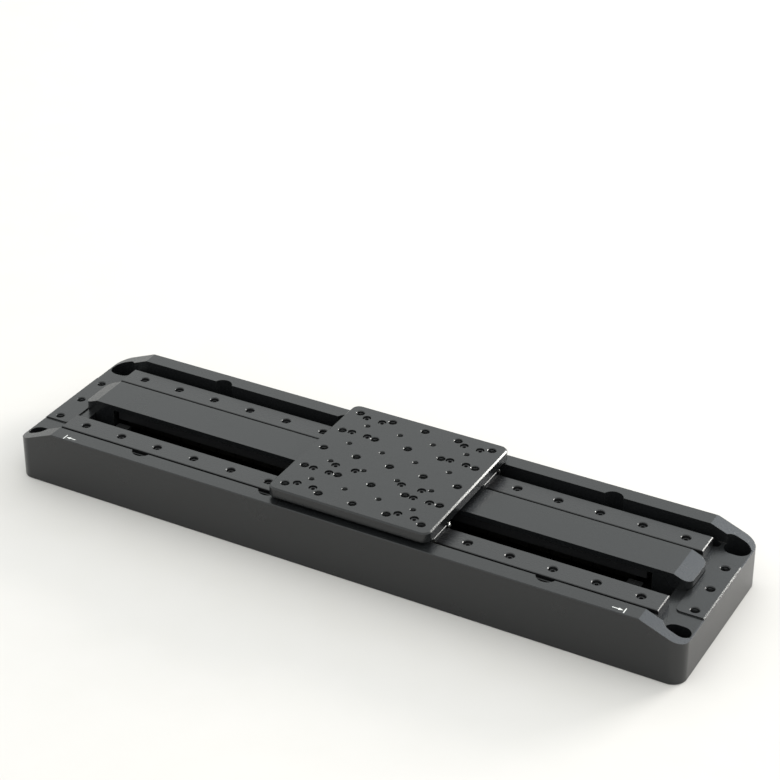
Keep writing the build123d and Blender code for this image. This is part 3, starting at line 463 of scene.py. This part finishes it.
def etched_tape(name, steel, line_colour):
    """Brushed stainless tape with etched lines at one pitch along the travel."""
    material, tree = new_material(name)
    place = add(tree, "ShaderNodeTexCoord").outputs["Object"]
    along = add(tree, "ShaderNodeSeparateXYZ", {0: place}).outputs[0]
    turns = add(tree, "ShaderNodeMath", {0: along, 1: 2 * pi / scale_line_pitch},
                operation="MULTIPLY").outputs[0]
    wave = add(tree, "ShaderNodeMath", {0: turns}, operation="SINE").outputs[0]
    lines = add(tree, "ShaderNodeMapRange", {
        "Value": wave, "From Min": 0.0, "From Max": 0.3}).outputs[0]
    brushed = add(tree, "ShaderNodeTexNoise", {
        "Vector": add(tree, "ShaderNodeMapping", {
            "Vector": place, "Scale": (30, 5000, 5000)}).outputs[0], "Scale": 1}).outputs["Fac"]
    colour = add(tree, "ShaderNodeMix", {0: lines, 6: steel, 7: line_colour},
                 data_type="RGBA").outputs[2]
    gloss = add(tree, "ShaderNodeMapRange", {
        "Value": brushed, "From Min": 0.3, "From Max": 0.7, "To Min": 0.22, "To Max": 0.4}).outputs[0]
    finish_material(tree, add(tree, "ShaderNodeBsdfPrincipled", {
        "Base Color": colour, "Metallic": 1.0, "Roughness": gloss}))
    return material


dress("encoder_scale", etched_tape("etched_stainless_scale_tape", linear("#b9b6ac"),
                                   linear("#4b4a46")))


# ------------------------------------------------------------------ Bearing blocks
# Four ball-bearing blocks. The ground steel saddle carries a moulded ball-return cap
# and a rubber wiper at each end, held by two small screws.
block_offset_x = 37.75
seal_screw_height = 38.05
seal_screw_offset = 10.85


def moulded_plastic(name, colour, roughness, texture):
    """Injection moulded plastic with a fine spark-eroded texture."""
    material, tree = new_material(name)
    place = add(tree, "ShaderNodeTexCoord").outputs["Object"]
    texture_noise = add(tree, "ShaderNodeTexNoise", {
        "Vector": place, "Scale": 1 / texture, "Detail": 3}).outputs["Fac"]
    flow = add(tree, "ShaderNodeTexNoise", {
        "Vector": place, "Scale": 1 / (9 * MM), "Detail": 2}).outputs["Fac"]
    tint = add(tree, "ShaderNodeMix", {
        0: flow, 6: colour, 7: [1.35 * c for c in colour[:3]] + [1.0]}, data_type="RGBA").outputs[2]
    gloss = add(tree, "ShaderNodeMapRange", {
        "Value": flow, "From Min": 0.3, "From Max": 0.7,
        "To Min": roughness - 0.05, "To Max": roughness + 0.07}).outputs[0]
    rounded = add(tree, "ShaderNodeBevel", {"Radius": 0.2 * MM}, samples=4).outputs["Normal"]
    relief = add(tree, "ShaderNodeBump", {
        "Height": texture_noise, "Strength": 0.3, "Distance": 0.1 * texture,
        "Normal": rounded}).outputs[0]
    finish_material(tree, add(tree, "ShaderNodeBsdfPrincipled", {
        "Base Color": tint, "Roughness": gloss, "IOR": 1.53, "Normal": relief}))
    return material


block_steel = ground_steel("black_coated_bearing_steel", linear("#1d1d1e"),
                           roughness=0.34, streak=0.3 * MM)
cap_plastic = moulded_plastic("moulded_black_ball_return", linear("#1b1c1e"),
                              roughness=0.42, texture=0.15 * MM)
wiper_rubber = moulded_plastic("moulded_wiper_rubber", linear("#0a0a0b"),
                               roughness=0.30, texture=0.1 * MM)
for side in ("front", "rear"):
    for end in ("left", "right"):
        dress(f"{side}_{end}_bearing_block", block_steel)
        for place_name in ("outer", "inner"):
            dress(f"{side}_{end}_{place_name}_end_cap", cap_plastic)
dress("bearing_end_seals", wiper_rubber)


def pan_screw_tree():
    """Geometry nodes that lay one small crosshead pan screw on every point, facing along X."""
    tree = bpy.data.node_groups.new("small_pan_head_screws", "GeometryNodeTree")
    add_sockets(tree, ["Places"], "NodeSocketGeometry")
    add_sockets(tree, ["Head", "Height", "Cross", "Turned"], "NodeSocketFloat")
    add_sockets(tree, ["Seed"], "NodeSocketInt")
    add_sockets(tree, ["Finish"], "NodeSocketMaterial")
    tree.interface.new_socket(name="Screws", in_out="OUTPUT", socket_type="NodeSocketGeometry")
    given = add(tree, "NodeGroupInput").outputs

    def times(a, b):
        return add(tree, "ShaderNodeMath", {0: a, 1: b}, operation="MULTIPLY").outputs[0]

    wall = add(tree, "GeometryNodeMeshCylinder", {
        "Vertices": 24, "Radius": times(given["Head"], 0.5), "Depth": times(given["Height"], 0.5)})
    crown = add(tree, "GeometryNodeExtrudeMesh", {
        "Mesh": wall.outputs["Mesh"], "Selection": wall.outputs["Top"],
        "Offset Scale": times(given["Height"], 0.5), "Individual": False}, mode="FACES")
    domed = add(tree, "GeometryNodeScaleElements", {
        "Geometry": crown.outputs["Mesh"], "Selection": crown.outputs["Top"],
        "Scale": 0.68}).outputs[0]
    raised = add(tree, "GeometryNodeTransform", {
        "Geometry": domed, "Translation": add(tree, "ShaderNodeCombineXYZ", {
            "Z": times(given["Height"], 0.25)}).outputs[0]}).outputs[0]
    cutters = add(tree, "GeometryNodeJoinGeometry")
    for quarter in (0.0, pi / 2):
        blade = add(tree, "GeometryNodeMeshCube", {
            "Size": add(tree, "ShaderNodeCombineXYZ", {
                "X": given["Cross"], "Y": times(given["Cross"], 0.26),
                "Z": given["Height"]}).outputs[0]}).outputs["Mesh"]
        head_top = add(tree, "ShaderNodeCombineXYZ", {"Z": given["Height"]}).outputs[0]
        placed_blade = add(tree, "GeometryNodeTransform", {
            "Geometry": blade, "Rotation": (0, 0, quarter), "Translation": head_top}).outputs[0]
        tree.links.new(placed_blade, cutters.inputs[0])
    crossed = add(tree, "GeometryNodeMeshBoolean", {
        0: raised, 1: cutters.outputs[0]}, operation="DIFFERENCE").outputs[0]
    spin = add(tree, "FunctionNodeRandomValue", {
        2: 0.0, 3: pi, "Seed": given["Seed"]}, data_type="FLOAT").outputs[1]
    spun = add(tree, "GeometryNodeInstanceOnPoints", {
        "Points": given["Places"], "Instance": crossed, "Rotation": add(
            tree, "ShaderNodeCombineXYZ", {"Z": spin, "Y": given["Turned"]}).outputs[0]}).outputs[0]
    real = add(tree, "GeometryNodeRealizeInstances", {"Geometry": spun}).outputs[0]
    flat = add(tree, "GeometryNodeSetShadeSmooth", {0: real, "Shade Smooth": False},
               domain="FACE").outputs[0]
    finished = add(tree, "GeometryNodeSetMaterial", {
        "Geometry": flat, "Material": given["Finish"]}).outputs[0]
    add(tree, "NodeGroupOutput", {"Screws": finished})
    return tree


pan_screws = pan_screw_tree()
bright_screw = plated_metal("zinc_plated_pan_screw", linear("#c9c9c6"), roughness=0.24)
for facing, turned, screw_x in (("right", pi / 2, (70.3, -5.2)), ("left", -pi / 2, (31.0, -44.5))):
    screw_points = [Vector((x, y + dy, seal_screw_height)) * MM for x in screw_x
                    for y in (-rail_offset, rail_offset)
                    for dy in (-seal_screw_offset, seal_screw_offset)]
    grow(f"seal_screws_facing_{facing}", pan_screws, screw_points, {
        "Head": 3.2 * MM, "Height": 1.1 * MM, "Cross": 2.1 * MM, "Turned": turned, "Seed": 12,
        "Finish": bright_screw}, "carriage")


# ------------------------------------------------------------------ Carriage plate
# A square aluminium plate with broken edges, blasted and anodised, bolted down on the
# four blocks. Two grids of tapped holes cover its top, each with a countersunk mouth.
plate_x = 12.9
plate_top = 51.0
plate_screw_seat = 47.5
# the lighter second colour is the painted edge highlight, with the thinner dye of the edges
plate_finish = anodised("black_anodised_blasted_plate", linear("#18191a"), linear("#6a6660"),
                        grain=1.2 * MM, roughness=0.25)
dress("carriage_plate", plate_finish)


def tapped_thread_tree():
    """Geometry nodes that line the hole under every point with ridges of thread."""
    tree = bpy.data.node_groups.new("tapped_threads", "GeometryNodeTree")
    add_sockets(tree, ["Mouths"], "NodeSocketGeometry")
    add_sockets(tree, ["Bore", "Ridge", "Thread Pitch", "Start Depth"], "NodeSocketFloat")
    add_sockets(tree, ["Turns"], "NodeSocketInt")
    add_sockets(tree, ["Finish"], "NodeSocketMaterial")
    tree.interface.new_socket(name="Threads", in_out="OUTPUT", socket_type="NodeSocketGeometry")
    given = add(tree, "NodeGroupInput").outputs
    crest = add(tree, "ShaderNodeMath", {0: given["Bore"], 1: given["Ridge"]},
                operation="SUBTRACT").outputs[0]
    half = add(tree, "ShaderNodeMath", {0: given["Thread Pitch"], 1: 0.5},
               operation="MULTIPLY").outputs[0]
    flank = add(tree, "GeometryNodeMeshCone", {
        "Vertices": 20, "Radius Top": crest, "Radius Bottom": given["Bore"],
        "Depth": half}, fill_type="NONE").outputs["Mesh"]
    upper = add(tree, "GeometryNodeTransform", {
        "Geometry": flank, "Rotation": (pi, 0, 0),
        "Translation": add(tree, "ShaderNodeCombineXYZ", {
            "Z": given["Thread Pitch"]}).outputs[0]}).outputs[0]
    turn = add(tree, "GeometryNodeJoinGeometry")
    for part in (flank, upper):
        tree.links.new(part, turn.inputs[0])
    inward = add(tree, "GeometryNodeFlipFaces", {0: turn.outputs[0]}).outputs[0]
    down = add(tree, "ShaderNodeMath", {0: given["Thread Pitch"], 1: -1.0},
               operation="MULTIPLY").outputs[0]
    first = add(tree, "ShaderNodeMath", {0: given["Start Depth"], 1: -1.0},
                operation="MULTIPLY").outputs[0]
    ladder = add(tree, "GeometryNodeMeshLine", {
        "Count": given["Turns"],
        "Start Location": add(tree, "ShaderNodeCombineXYZ", {"Z": first}).outputs[0],
        "Offset": add(tree, "ShaderNodeCombineXYZ", {"Z": down}).outputs[0]}).outputs[0]
    column = add(tree, "GeometryNodeInstanceOnPoints", {
        "Points": ladder, "Instance": inward}).outputs[0]
    placed = add(tree, "GeometryNodeInstanceOnPoints", {
        "Points": given["Mouths"], "Instance": column}).outputs[0]
    real = add(tree, "GeometryNodeRealizeInstances", {"Geometry": placed}).outputs[0]
    flat = add(tree, "GeometryNodeSetShadeSmooth", {0: real, "Shade Smooth": False},
               domain="FACE").outputs[0]
    finished = add(tree, "GeometryNodeSetMaterial", {
        "Geometry": flat, "Material": given["Finish"]}).outputs[0]
    add(tree, "NodeGroupOutput", {"Threads": finished})
    return tree


tapped_threads = tapped_thread_tree()


def tap_holes(name, mouths, height, bore, ridge, pitch, depth, body, material):
    """Thread ridges in a set of tapped holes; sizes in millimetres."""
    points = [Vector((x, y, height)) * MM for x, y in mouths]
    return grow(name, tapped_threads, points, {
        "Bore": bore * MM, "Ridge": ridge * MM, "Thread Pitch": pitch * MM,
        "Start Depth": 2.2 * pitch * MM, "Turns": int(depth / pitch) - 2,
        "Finish": material}, body)


def tap_grid(count):
    """Places of a square grid of holes on the plate."""
    steps = [(index - (count - 1) / 2) * tap_spacing for index in range(count)]
    return [(plate_x + x, y) for x in steps for y in steps]


tap_holes("carriage_large_threads", tap_grid(5), plate_top, bore=2.8, ridge=0.32,
          pitch=1.27, depth=8.0, body="carriage", material=plate_finish)
tap_holes("carriage_small_threads", tap_grid(4), plate_top, bore=1.8, ridge=0.22,
          pitch=0.79, depth=8.0, body="carriage", material=plate_finish)
tap_holes("end_pad_threads", end_pad_taps, end_pad_top, bore=2.8, ridge=0.32,
          pitch=1.27, depth=11.0, body="base", material=base_finish)
block_screw_places = [(plate_x + x + dx, y + dy) for x in (-block_offset_x, block_offset_x)
                      for y in (-rail_offset, rail_offset)
                      for dx in (-6.0, 6.0) for dy in (-10.5, 10.5)]
fit_screws("block_screws", block_screw_places, seat=plate_screw_seat, thread=3.0,
           length=8.5, pitch=0.5, seed=6, head_height=2.5)


# ------------------------------------------------------------------ Forcer and coil
# The moving half of the motor: an aluminium bar hung from the plate by four screws,
# and a flat coil potted in nearly black resin that runs between the magnets.
forcer_y = -15.8


def potting_resin(name, colour):
    """Cast epoxy over copper windings: glossy, with slow colour drifts."""
    material, tree = new_material(name)
    place = add(tree, "ShaderNodeTexCoord").outputs["Object"]
    drift = add(tree, "ShaderNodeTexNoise", {
        "Vector": place, "Scale": 1 / (6 * MM), "Detail": 4}).outputs["Fac"]
    windings = add(tree, "ShaderNodeTexWave", {
        "Vector": place, "Scale": 1 / (4 * MM), "Distortion": 1.0}).outputs["Fac"]
    mixed = add(tree, "ShaderNodeMath", {0: drift, 1: windings}, operation="MULTIPLY").outputs[0]
    tint = add(tree, "ShaderNodeMix", {
        0: mixed, 6: colour, 7: [1.8 * c for c in colour[:3]] + [1.0]}, data_type="RGBA").outputs[2]
    relief = add(tree, "ShaderNodeBump", {
        "Height": drift, "Strength": 0.3, "Distance": 0.1 * MM}).outputs[0]
    finish_material(tree, add(tree, "ShaderNodeBsdfPrincipled", {
        "Base Color": tint, "Roughness": 0.28, "IOR": 1.55, "Normal": relief}))
    return material


inner_finish = anodised("black_anodised_inner_aluminium", linear("#18191a"), linear("#55514d"),
                        grain=1.2 * MM, roughness=0.34)
dress("forcer_bar", inner_finish)
dress("motor_coil", potting_resin("potted_coil_epoxy", linear("#141212")))
fit_screws("forcer_screws", [(plate_x + x, forcer_y) for x in (-32.5, -17.5, 17.5, 32.5)],
           seat=plate_screw_seat, thread=3.0, length=10.0, pitch=0.5, seed=7,
           head_height=2.5)


# ------------------------------------------------------------------ Read head
# The encoder's read head looks down at the scale. Its die-cast body hangs from a thin
# shim bracket under the forcer bar on two small screws.
head_finish = anodised("dark_anodised_read_head", linear("#2a2b2e"), linear("#77746e"),
                       grain=1.0 * MM, roughness=0.36)
dress("encoder_read_head", head_finish)
dress("read_head_bracket", inner_finish)
fit_screws("read_head_bracket_screws", [(plate_x + x, forcer_y) for x in (-14.0, 14.0)],
           seat=20.0, thread=2.0, length=6.0, pitch=0.4, seed=8, facing_up=False)


# ------------------------------------------------------------------ End stops
# An anodised block at each end of the motor bay, with a cast polyurethane bumper on
# its face, held down by one long screw.
stop_finish = anodised("black_anodised_stop", linear("#0c0c0d"), linear("#1c1b1a"),
                       grain=1.2 * MM, roughness=0.45)
bumper_finish = moulded_plastic("cast_grey_polyurethane", linear("#232325"),
                                roughness=0.5, texture=0.3 * MM)
for end in ("left", "right"):
    dress(f"{end}_end_stop", stop_finish)
    dress(f"{end}_bumper", bumper_finish)
fit_screws("end_stop_screws", [(x, forcer_y) for x in (-196.0, 196.0)], seat=24.6,
           thread=3.0, length=19.0, pitch=0.5, seed=9)


# ------------------------------------------------------------------ Limit sensors
# Slotted light barriers, moulded in black plastic, one near each end of the front
# trough. A bent steel vane under the plate passes through their slots.
sensor_plastic = moulded_plastic("moulded_black_sensor_body", linear("#17181b"),
                                 roughness=0.38, texture=0.12 * MM)
for end in ("left", "right"):
    dress(f"{end}_limit_sensor", sensor_plastic)
fit_screws("limit_sensor_screws", [(x, -49.65) for x in (-173.5, 173.5)], seat=19.2,
           thread=2.0, length=9.2, pitch=0.4, seed=10)
vane_steel = ground_steel("bent_stainless_vane", linear("#77756f"),
                          roughness=0.32, streak=0.2 * MM)
dress("limit_vane", vane_steel)
fit_screws("limit_vane_screws", [(plate_x + x, -45.75) for x in (-10.0, 10.0)],
           seat=42.0, thread=2.0, length=4.0, pitch=0.4, seed=11, facing_up=False)


# ------------------------------------------------------------------ Connectors
# Two sockets in the recess of the left end: a D-shaped one in a nickel plated pressed
# shell with two hexagonal posts, and a round one with a turned barrel.
shell_finish = plated_metal("nickel_plated_connector", linear("#b8b5ad"), roughness=0.28)
insert_plastic = moulded_plastic("moulded_connector_insert", linear("#121316"),
                                 roughness=0.45, texture=0.1 * MM)
for node_name in ("encoder_connector_shell", "encoder_jack_posts", "motor_connector_body"):
    dress(node_name, shell_finish)
for node_name in ("encoder_connector_insert", "motor_connector_insert"):
    dress(node_name, insert_plastic)


def contact_tree():
    """Geometry nodes that set one round contact pin on every point, its tip towards -X."""
    tree = bpy.data.node_groups.new("connector_contacts", "GeometryNodeTree")
    add_sockets(tree, ["Places"], "NodeSocketGeometry")
    add_sockets(tree, ["Pin Radius", "Pin Length"], "NodeSocketFloat")
    add_sockets(tree, ["Finish"], "NodeSocketMaterial")
    tree.interface.new_socket(name="Contacts", in_out="OUTPUT", socket_type="NodeSocketGeometry")
    given = add(tree, "NodeGroupInput").outputs
    pin = add(tree, "GeometryNodeMeshCylinder", {
        "Vertices": 16, "Radius": given["Pin Radius"], "Depth": given["Pin Length"]})
    tip = add(tree, "GeometryNodeExtrudeMesh", {
        "Mesh": pin.outputs["Mesh"], "Selection": pin.outputs["Top"],
        "Offset Scale": add(tree, "ShaderNodeMath", {0: given["Pin Radius"], 1: 0.6},
                            operation="MULTIPLY").outputs[0], "Individual": False}, mode="FACES")
    rounded = add(tree, "GeometryNodeScaleElements", {
        "Geometry": tip.outputs["Mesh"], "Selection": tip.outputs["Top"],
        "Scale": 0.5}).outputs[0]
    placed = add(tree, "GeometryNodeInstanceOnPoints", {
        "Points": given["Places"], "Instance": rounded, "Rotation": (0, -pi / 2, 0)}).outputs[0]
    real = add(tree, "GeometryNodeRealizeInstances", {"Geometry": placed}).outputs[0]
    finished = add(tree, "GeometryNodeSetMaterial", {
        "Geometry": real, "Material": given["Finish"]}).outputs[0]
    add(tree, "NodeGroupOutput", {"Contacts": finished})
    return tree


contacts = contact_tree()
contact_finish = plated_metal("gold_plated_contact", linear("#d9b564"), roughness=0.22)
contact_pitch = 2.77
contact_row_spacing = 2.84
contact_circle = 2.4
contact_radius = 0.5
line_height = 10.75
encoder_contacts = [(-247.8, -12.5 + (index - (count - 1) / 2) * contact_pitch,
                     line_height + row * contact_row_spacing / 2)
                    for row, count in ((1, 8), (-1, 7)) for index in range(count)]
motor_contacts = [(-247.6, 22.0 + contact_circle * cos(turn * pi / 2),
                   line_height + contact_circle * sin(turn * pi / 2)) for turn in range(4)]
for name, places, pin_length in (("encoder_contacts", encoder_contacts, 0.8),
                                 ("motor_contacts", motor_contacts, 2.0)):
    grow(name, contacts, [Vector(place) * MM for place in places], {
        "Pin Radius": contact_radius * MM, "Pin Length": pin_length * MM,
        "Finish": contact_finish}, "base")


# ------------------------------------------------------------------ Travel marks
# Thin white screen-printed arrows on top of the front wall that point at each end
# of the travel, each against a short bar.
wall_top = 41.5
ink_thickness = 0.02
mark_height = wall_top + ink_thickness


def ink(name, colour):
    """Screen-printing ink: nearly opaque, a little thin in places."""
    material, tree = new_material(name)
    place = add(tree, "ShaderNodeTexCoord").outputs["Object"]
    cover = add(tree, "ShaderNodeTexNoise", {
        "Vector": place, "Scale": 1 / (0.4 * MM), "Detail": 3}).outputs["Fac"]
    tint = add(tree, "ShaderNodeMix", {
        0: cover, 6: colour, 7: [0.8 * c for c in colour[:3]] + [1.0]}, data_type="RGBA").outputs[2]
    finish_material(tree, add(tree, "ShaderNodeBsdfPrincipled", {
        "Base Color": tint, "Roughness": 0.55, "IOR": 1.5}))
    return material


def print_arrow(name, tail_x, tip_x, y):
    """One arrow with its bar, as thin flat ink."""
    way = 1 if tip_x > tail_x else -1
    stroke = 0.35
    barb = tip_x - way * 3.4
    bar = tip_x + way * 0.5
    outlines = [
        [(tail_x, y - stroke), (barb, y - stroke), (barb, y + stroke), (tail_x, y + stroke)],
        [(barb, y - 1.15), (tip_x, y), (barb, y + 1.15)],
        [(bar, y - 2.6), (bar + way * 2 * stroke, y - 2.6),
         (bar + way * 2 * stroke, y + 2.6), (bar, y + 2.6)],
    ]
    shape = bmesh.new()
    for outline in outlines:
        corners = [shape.verts.new(Vector((px, py, mark_height)) * MM) for px, py in outline]
        face = shape.faces.new(corners)
        face.normal_update()
        if face.normal.z < 0:
            face.normal_flip()
    mesh = bpy.data.meshes.new(name)
    shape.to_mesh(mesh)
    shape.free()
    mesh.materials.append(white_ink)
    piece = bpy.data.objects.new(name, mesh)
    bpy.context.scene.collection.objects.link(piece)
    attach(piece, "base")
    return piece


white_ink = ink("screen_printed_white_ink", linear("#f2f2ee"))
print_arrow("right_travel_mark", tail_x=201.0, tip_x=208.6, y=-61.0)
print_arrow("left_travel_mark", tail_x=-201.0, tip_x=-208.6, y=-61.6)


# ------------------------------------------------------------------ Floor and light
# A pale seamless floor in a soft room that is brighter towards the back and up its
# walls, a small bright softbox low behind on the right, and a wide bluish one above it.


def floor_material():
    """Matt white paper sweep."""
    material, tree = new_material("white_paper_sweep")
    place = add(tree, "ShaderNodeTexCoord").outputs["Object"]
    fibre = add(tree, "ShaderNodeTexNoise", {
        "Vector": place, "Scale": 1 / (30 * MM), "Detail": 3}).outputs["Fac"]
    tint = add(tree, "ShaderNodeMix", {
        0: fibre, 6: linear("#dfdbd7"), 7: linear("#e2dedb")}, data_type="RGBA").outputs[2]
    finish_material(tree, add(tree, "ShaderNodeBsdfPrincipled", {
        "Base Color": tint, "Roughness": 0.9, "Specular IOR Level": 0.1}))
    return material


floor_mesh = bpy.data.meshes.new("floor")
reach = 12.0
floor_mesh.from_pydata([(-reach, -reach, 0), (reach, -reach, 0), (reach, reach, 0),
                        (-reach, reach, 0)], [], [(0, 1, 2, 3)])
floor_mesh.materials.append(floor_material())
floor = bpy.data.objects.new("floor", floor_mesh)
bpy.context.scene.collection.objects.link(floor)

room = bpy.data.worlds.new("room")
room.use_nodes = True
room.node_tree.nodes.clear()
towards_room = add(room.node_tree, "ShaderNodeTexCoord").outputs["Generated"]
around_room = add(room.node_tree, "ShaderNodeSeparateXYZ", {0: towards_room}).outputs
towards_back = add(room.node_tree, "ShaderNodeMapRange", {
    "Value": around_room[1], "From Min": -0.8, "From Max": 0.75,
    "To Min": 1.20, "To Max": 1.38}).outputs[0]
up_the_wall = add(room.node_tree, "ShaderNodeMapRange", {
    "Value": around_room[2], "From Min": 0.0, "From Max": 0.35,
    "To Min": 0.5, "To Max": 1.0}).outputs[0]
wall_brightness = add(room.node_tree, "ShaderNodeMath", {
    0: towards_back, 1: up_the_wall}, operation="MULTIPLY").outputs[0]
room_light = add(room.node_tree, "ShaderNodeBackground", {
    "Color": linear("#f6faf9"), "Strength": wall_brightness})
add(room.node_tree, "ShaderNodeOutputWorld", {"Surface": room_light.outputs[0]})
bpy.context.scene.world = room


def softbox(name, direction, distance, size, power, colour):
    """A rectangular area light that faces the middle of the object."""
    light = bpy.data.lights.new(name, "AREA")
    light.shape = "RECTANGLE"
    light.size, light.size_y = size
    light.energy = power
    light.color = linear(colour)[:3]
    lamp = bpy.data.objects.new(name, light)
    towards = Vector(direction).normalized()
    lamp.location = towards * distance
    lamp.rotation_euler = towards.to_track_quat("Z", "Y").to_euler()
    bpy.context.scene.collection.objects.link(lamp)
    return lamp


softbox("bright_softbox", direction=(0.462, 0.834, 0.301), distance=2.2,
        size=(0.85, 0.42), power=34.0, colour="#fffdf8")
softbox("wide_softbox", direction=(0.22, 0.78, 0.60), distance=2.4,
        size=(1.5, 0.9), power=5.0, colour="#dcebff")


# ------------------------------------------------------------------ Camera
# A long lens high over the front right corner, its picture shifted a little, as when
# a frame is trimmed, and its horizon turned by a hair.
view_azimuth = radians(30.764)
view_elevation = radians(28.800)
view_roll = radians(-1.044)
camera_data = bpy.data.cameras.new("camera")
camera_data.sensor_width = 36.0
camera_data.lens = 101.74
camera_data.shift_x = 0.0864
camera_data.shift_y = -0.0810
camera_data.clip_end = 50.0
camera = bpy.data.objects.new("camera", camera_data)
camera.location = (0.611671, -1.089979, 0.841466)
back = Vector((sin(view_azimuth) * cos(view_elevation), -cos(view_azimuth) * cos(view_elevation),
               sin(view_elevation)))
right = Vector((cos(view_azimuth), sin(view_azimuth), 0))
above = back.cross(right)
level = Matrix((right * cos(view_roll) + above * sin(view_roll),
                above * cos(view_roll) - right * sin(view_roll), back)).transposed()
camera.rotation_euler = level.to_euler()
bpy.context.scene.collection.objects.link(camera)
bpy.context.scene.camera = camera
bpy.context.scene.view_settings.view_transform = "Standard"
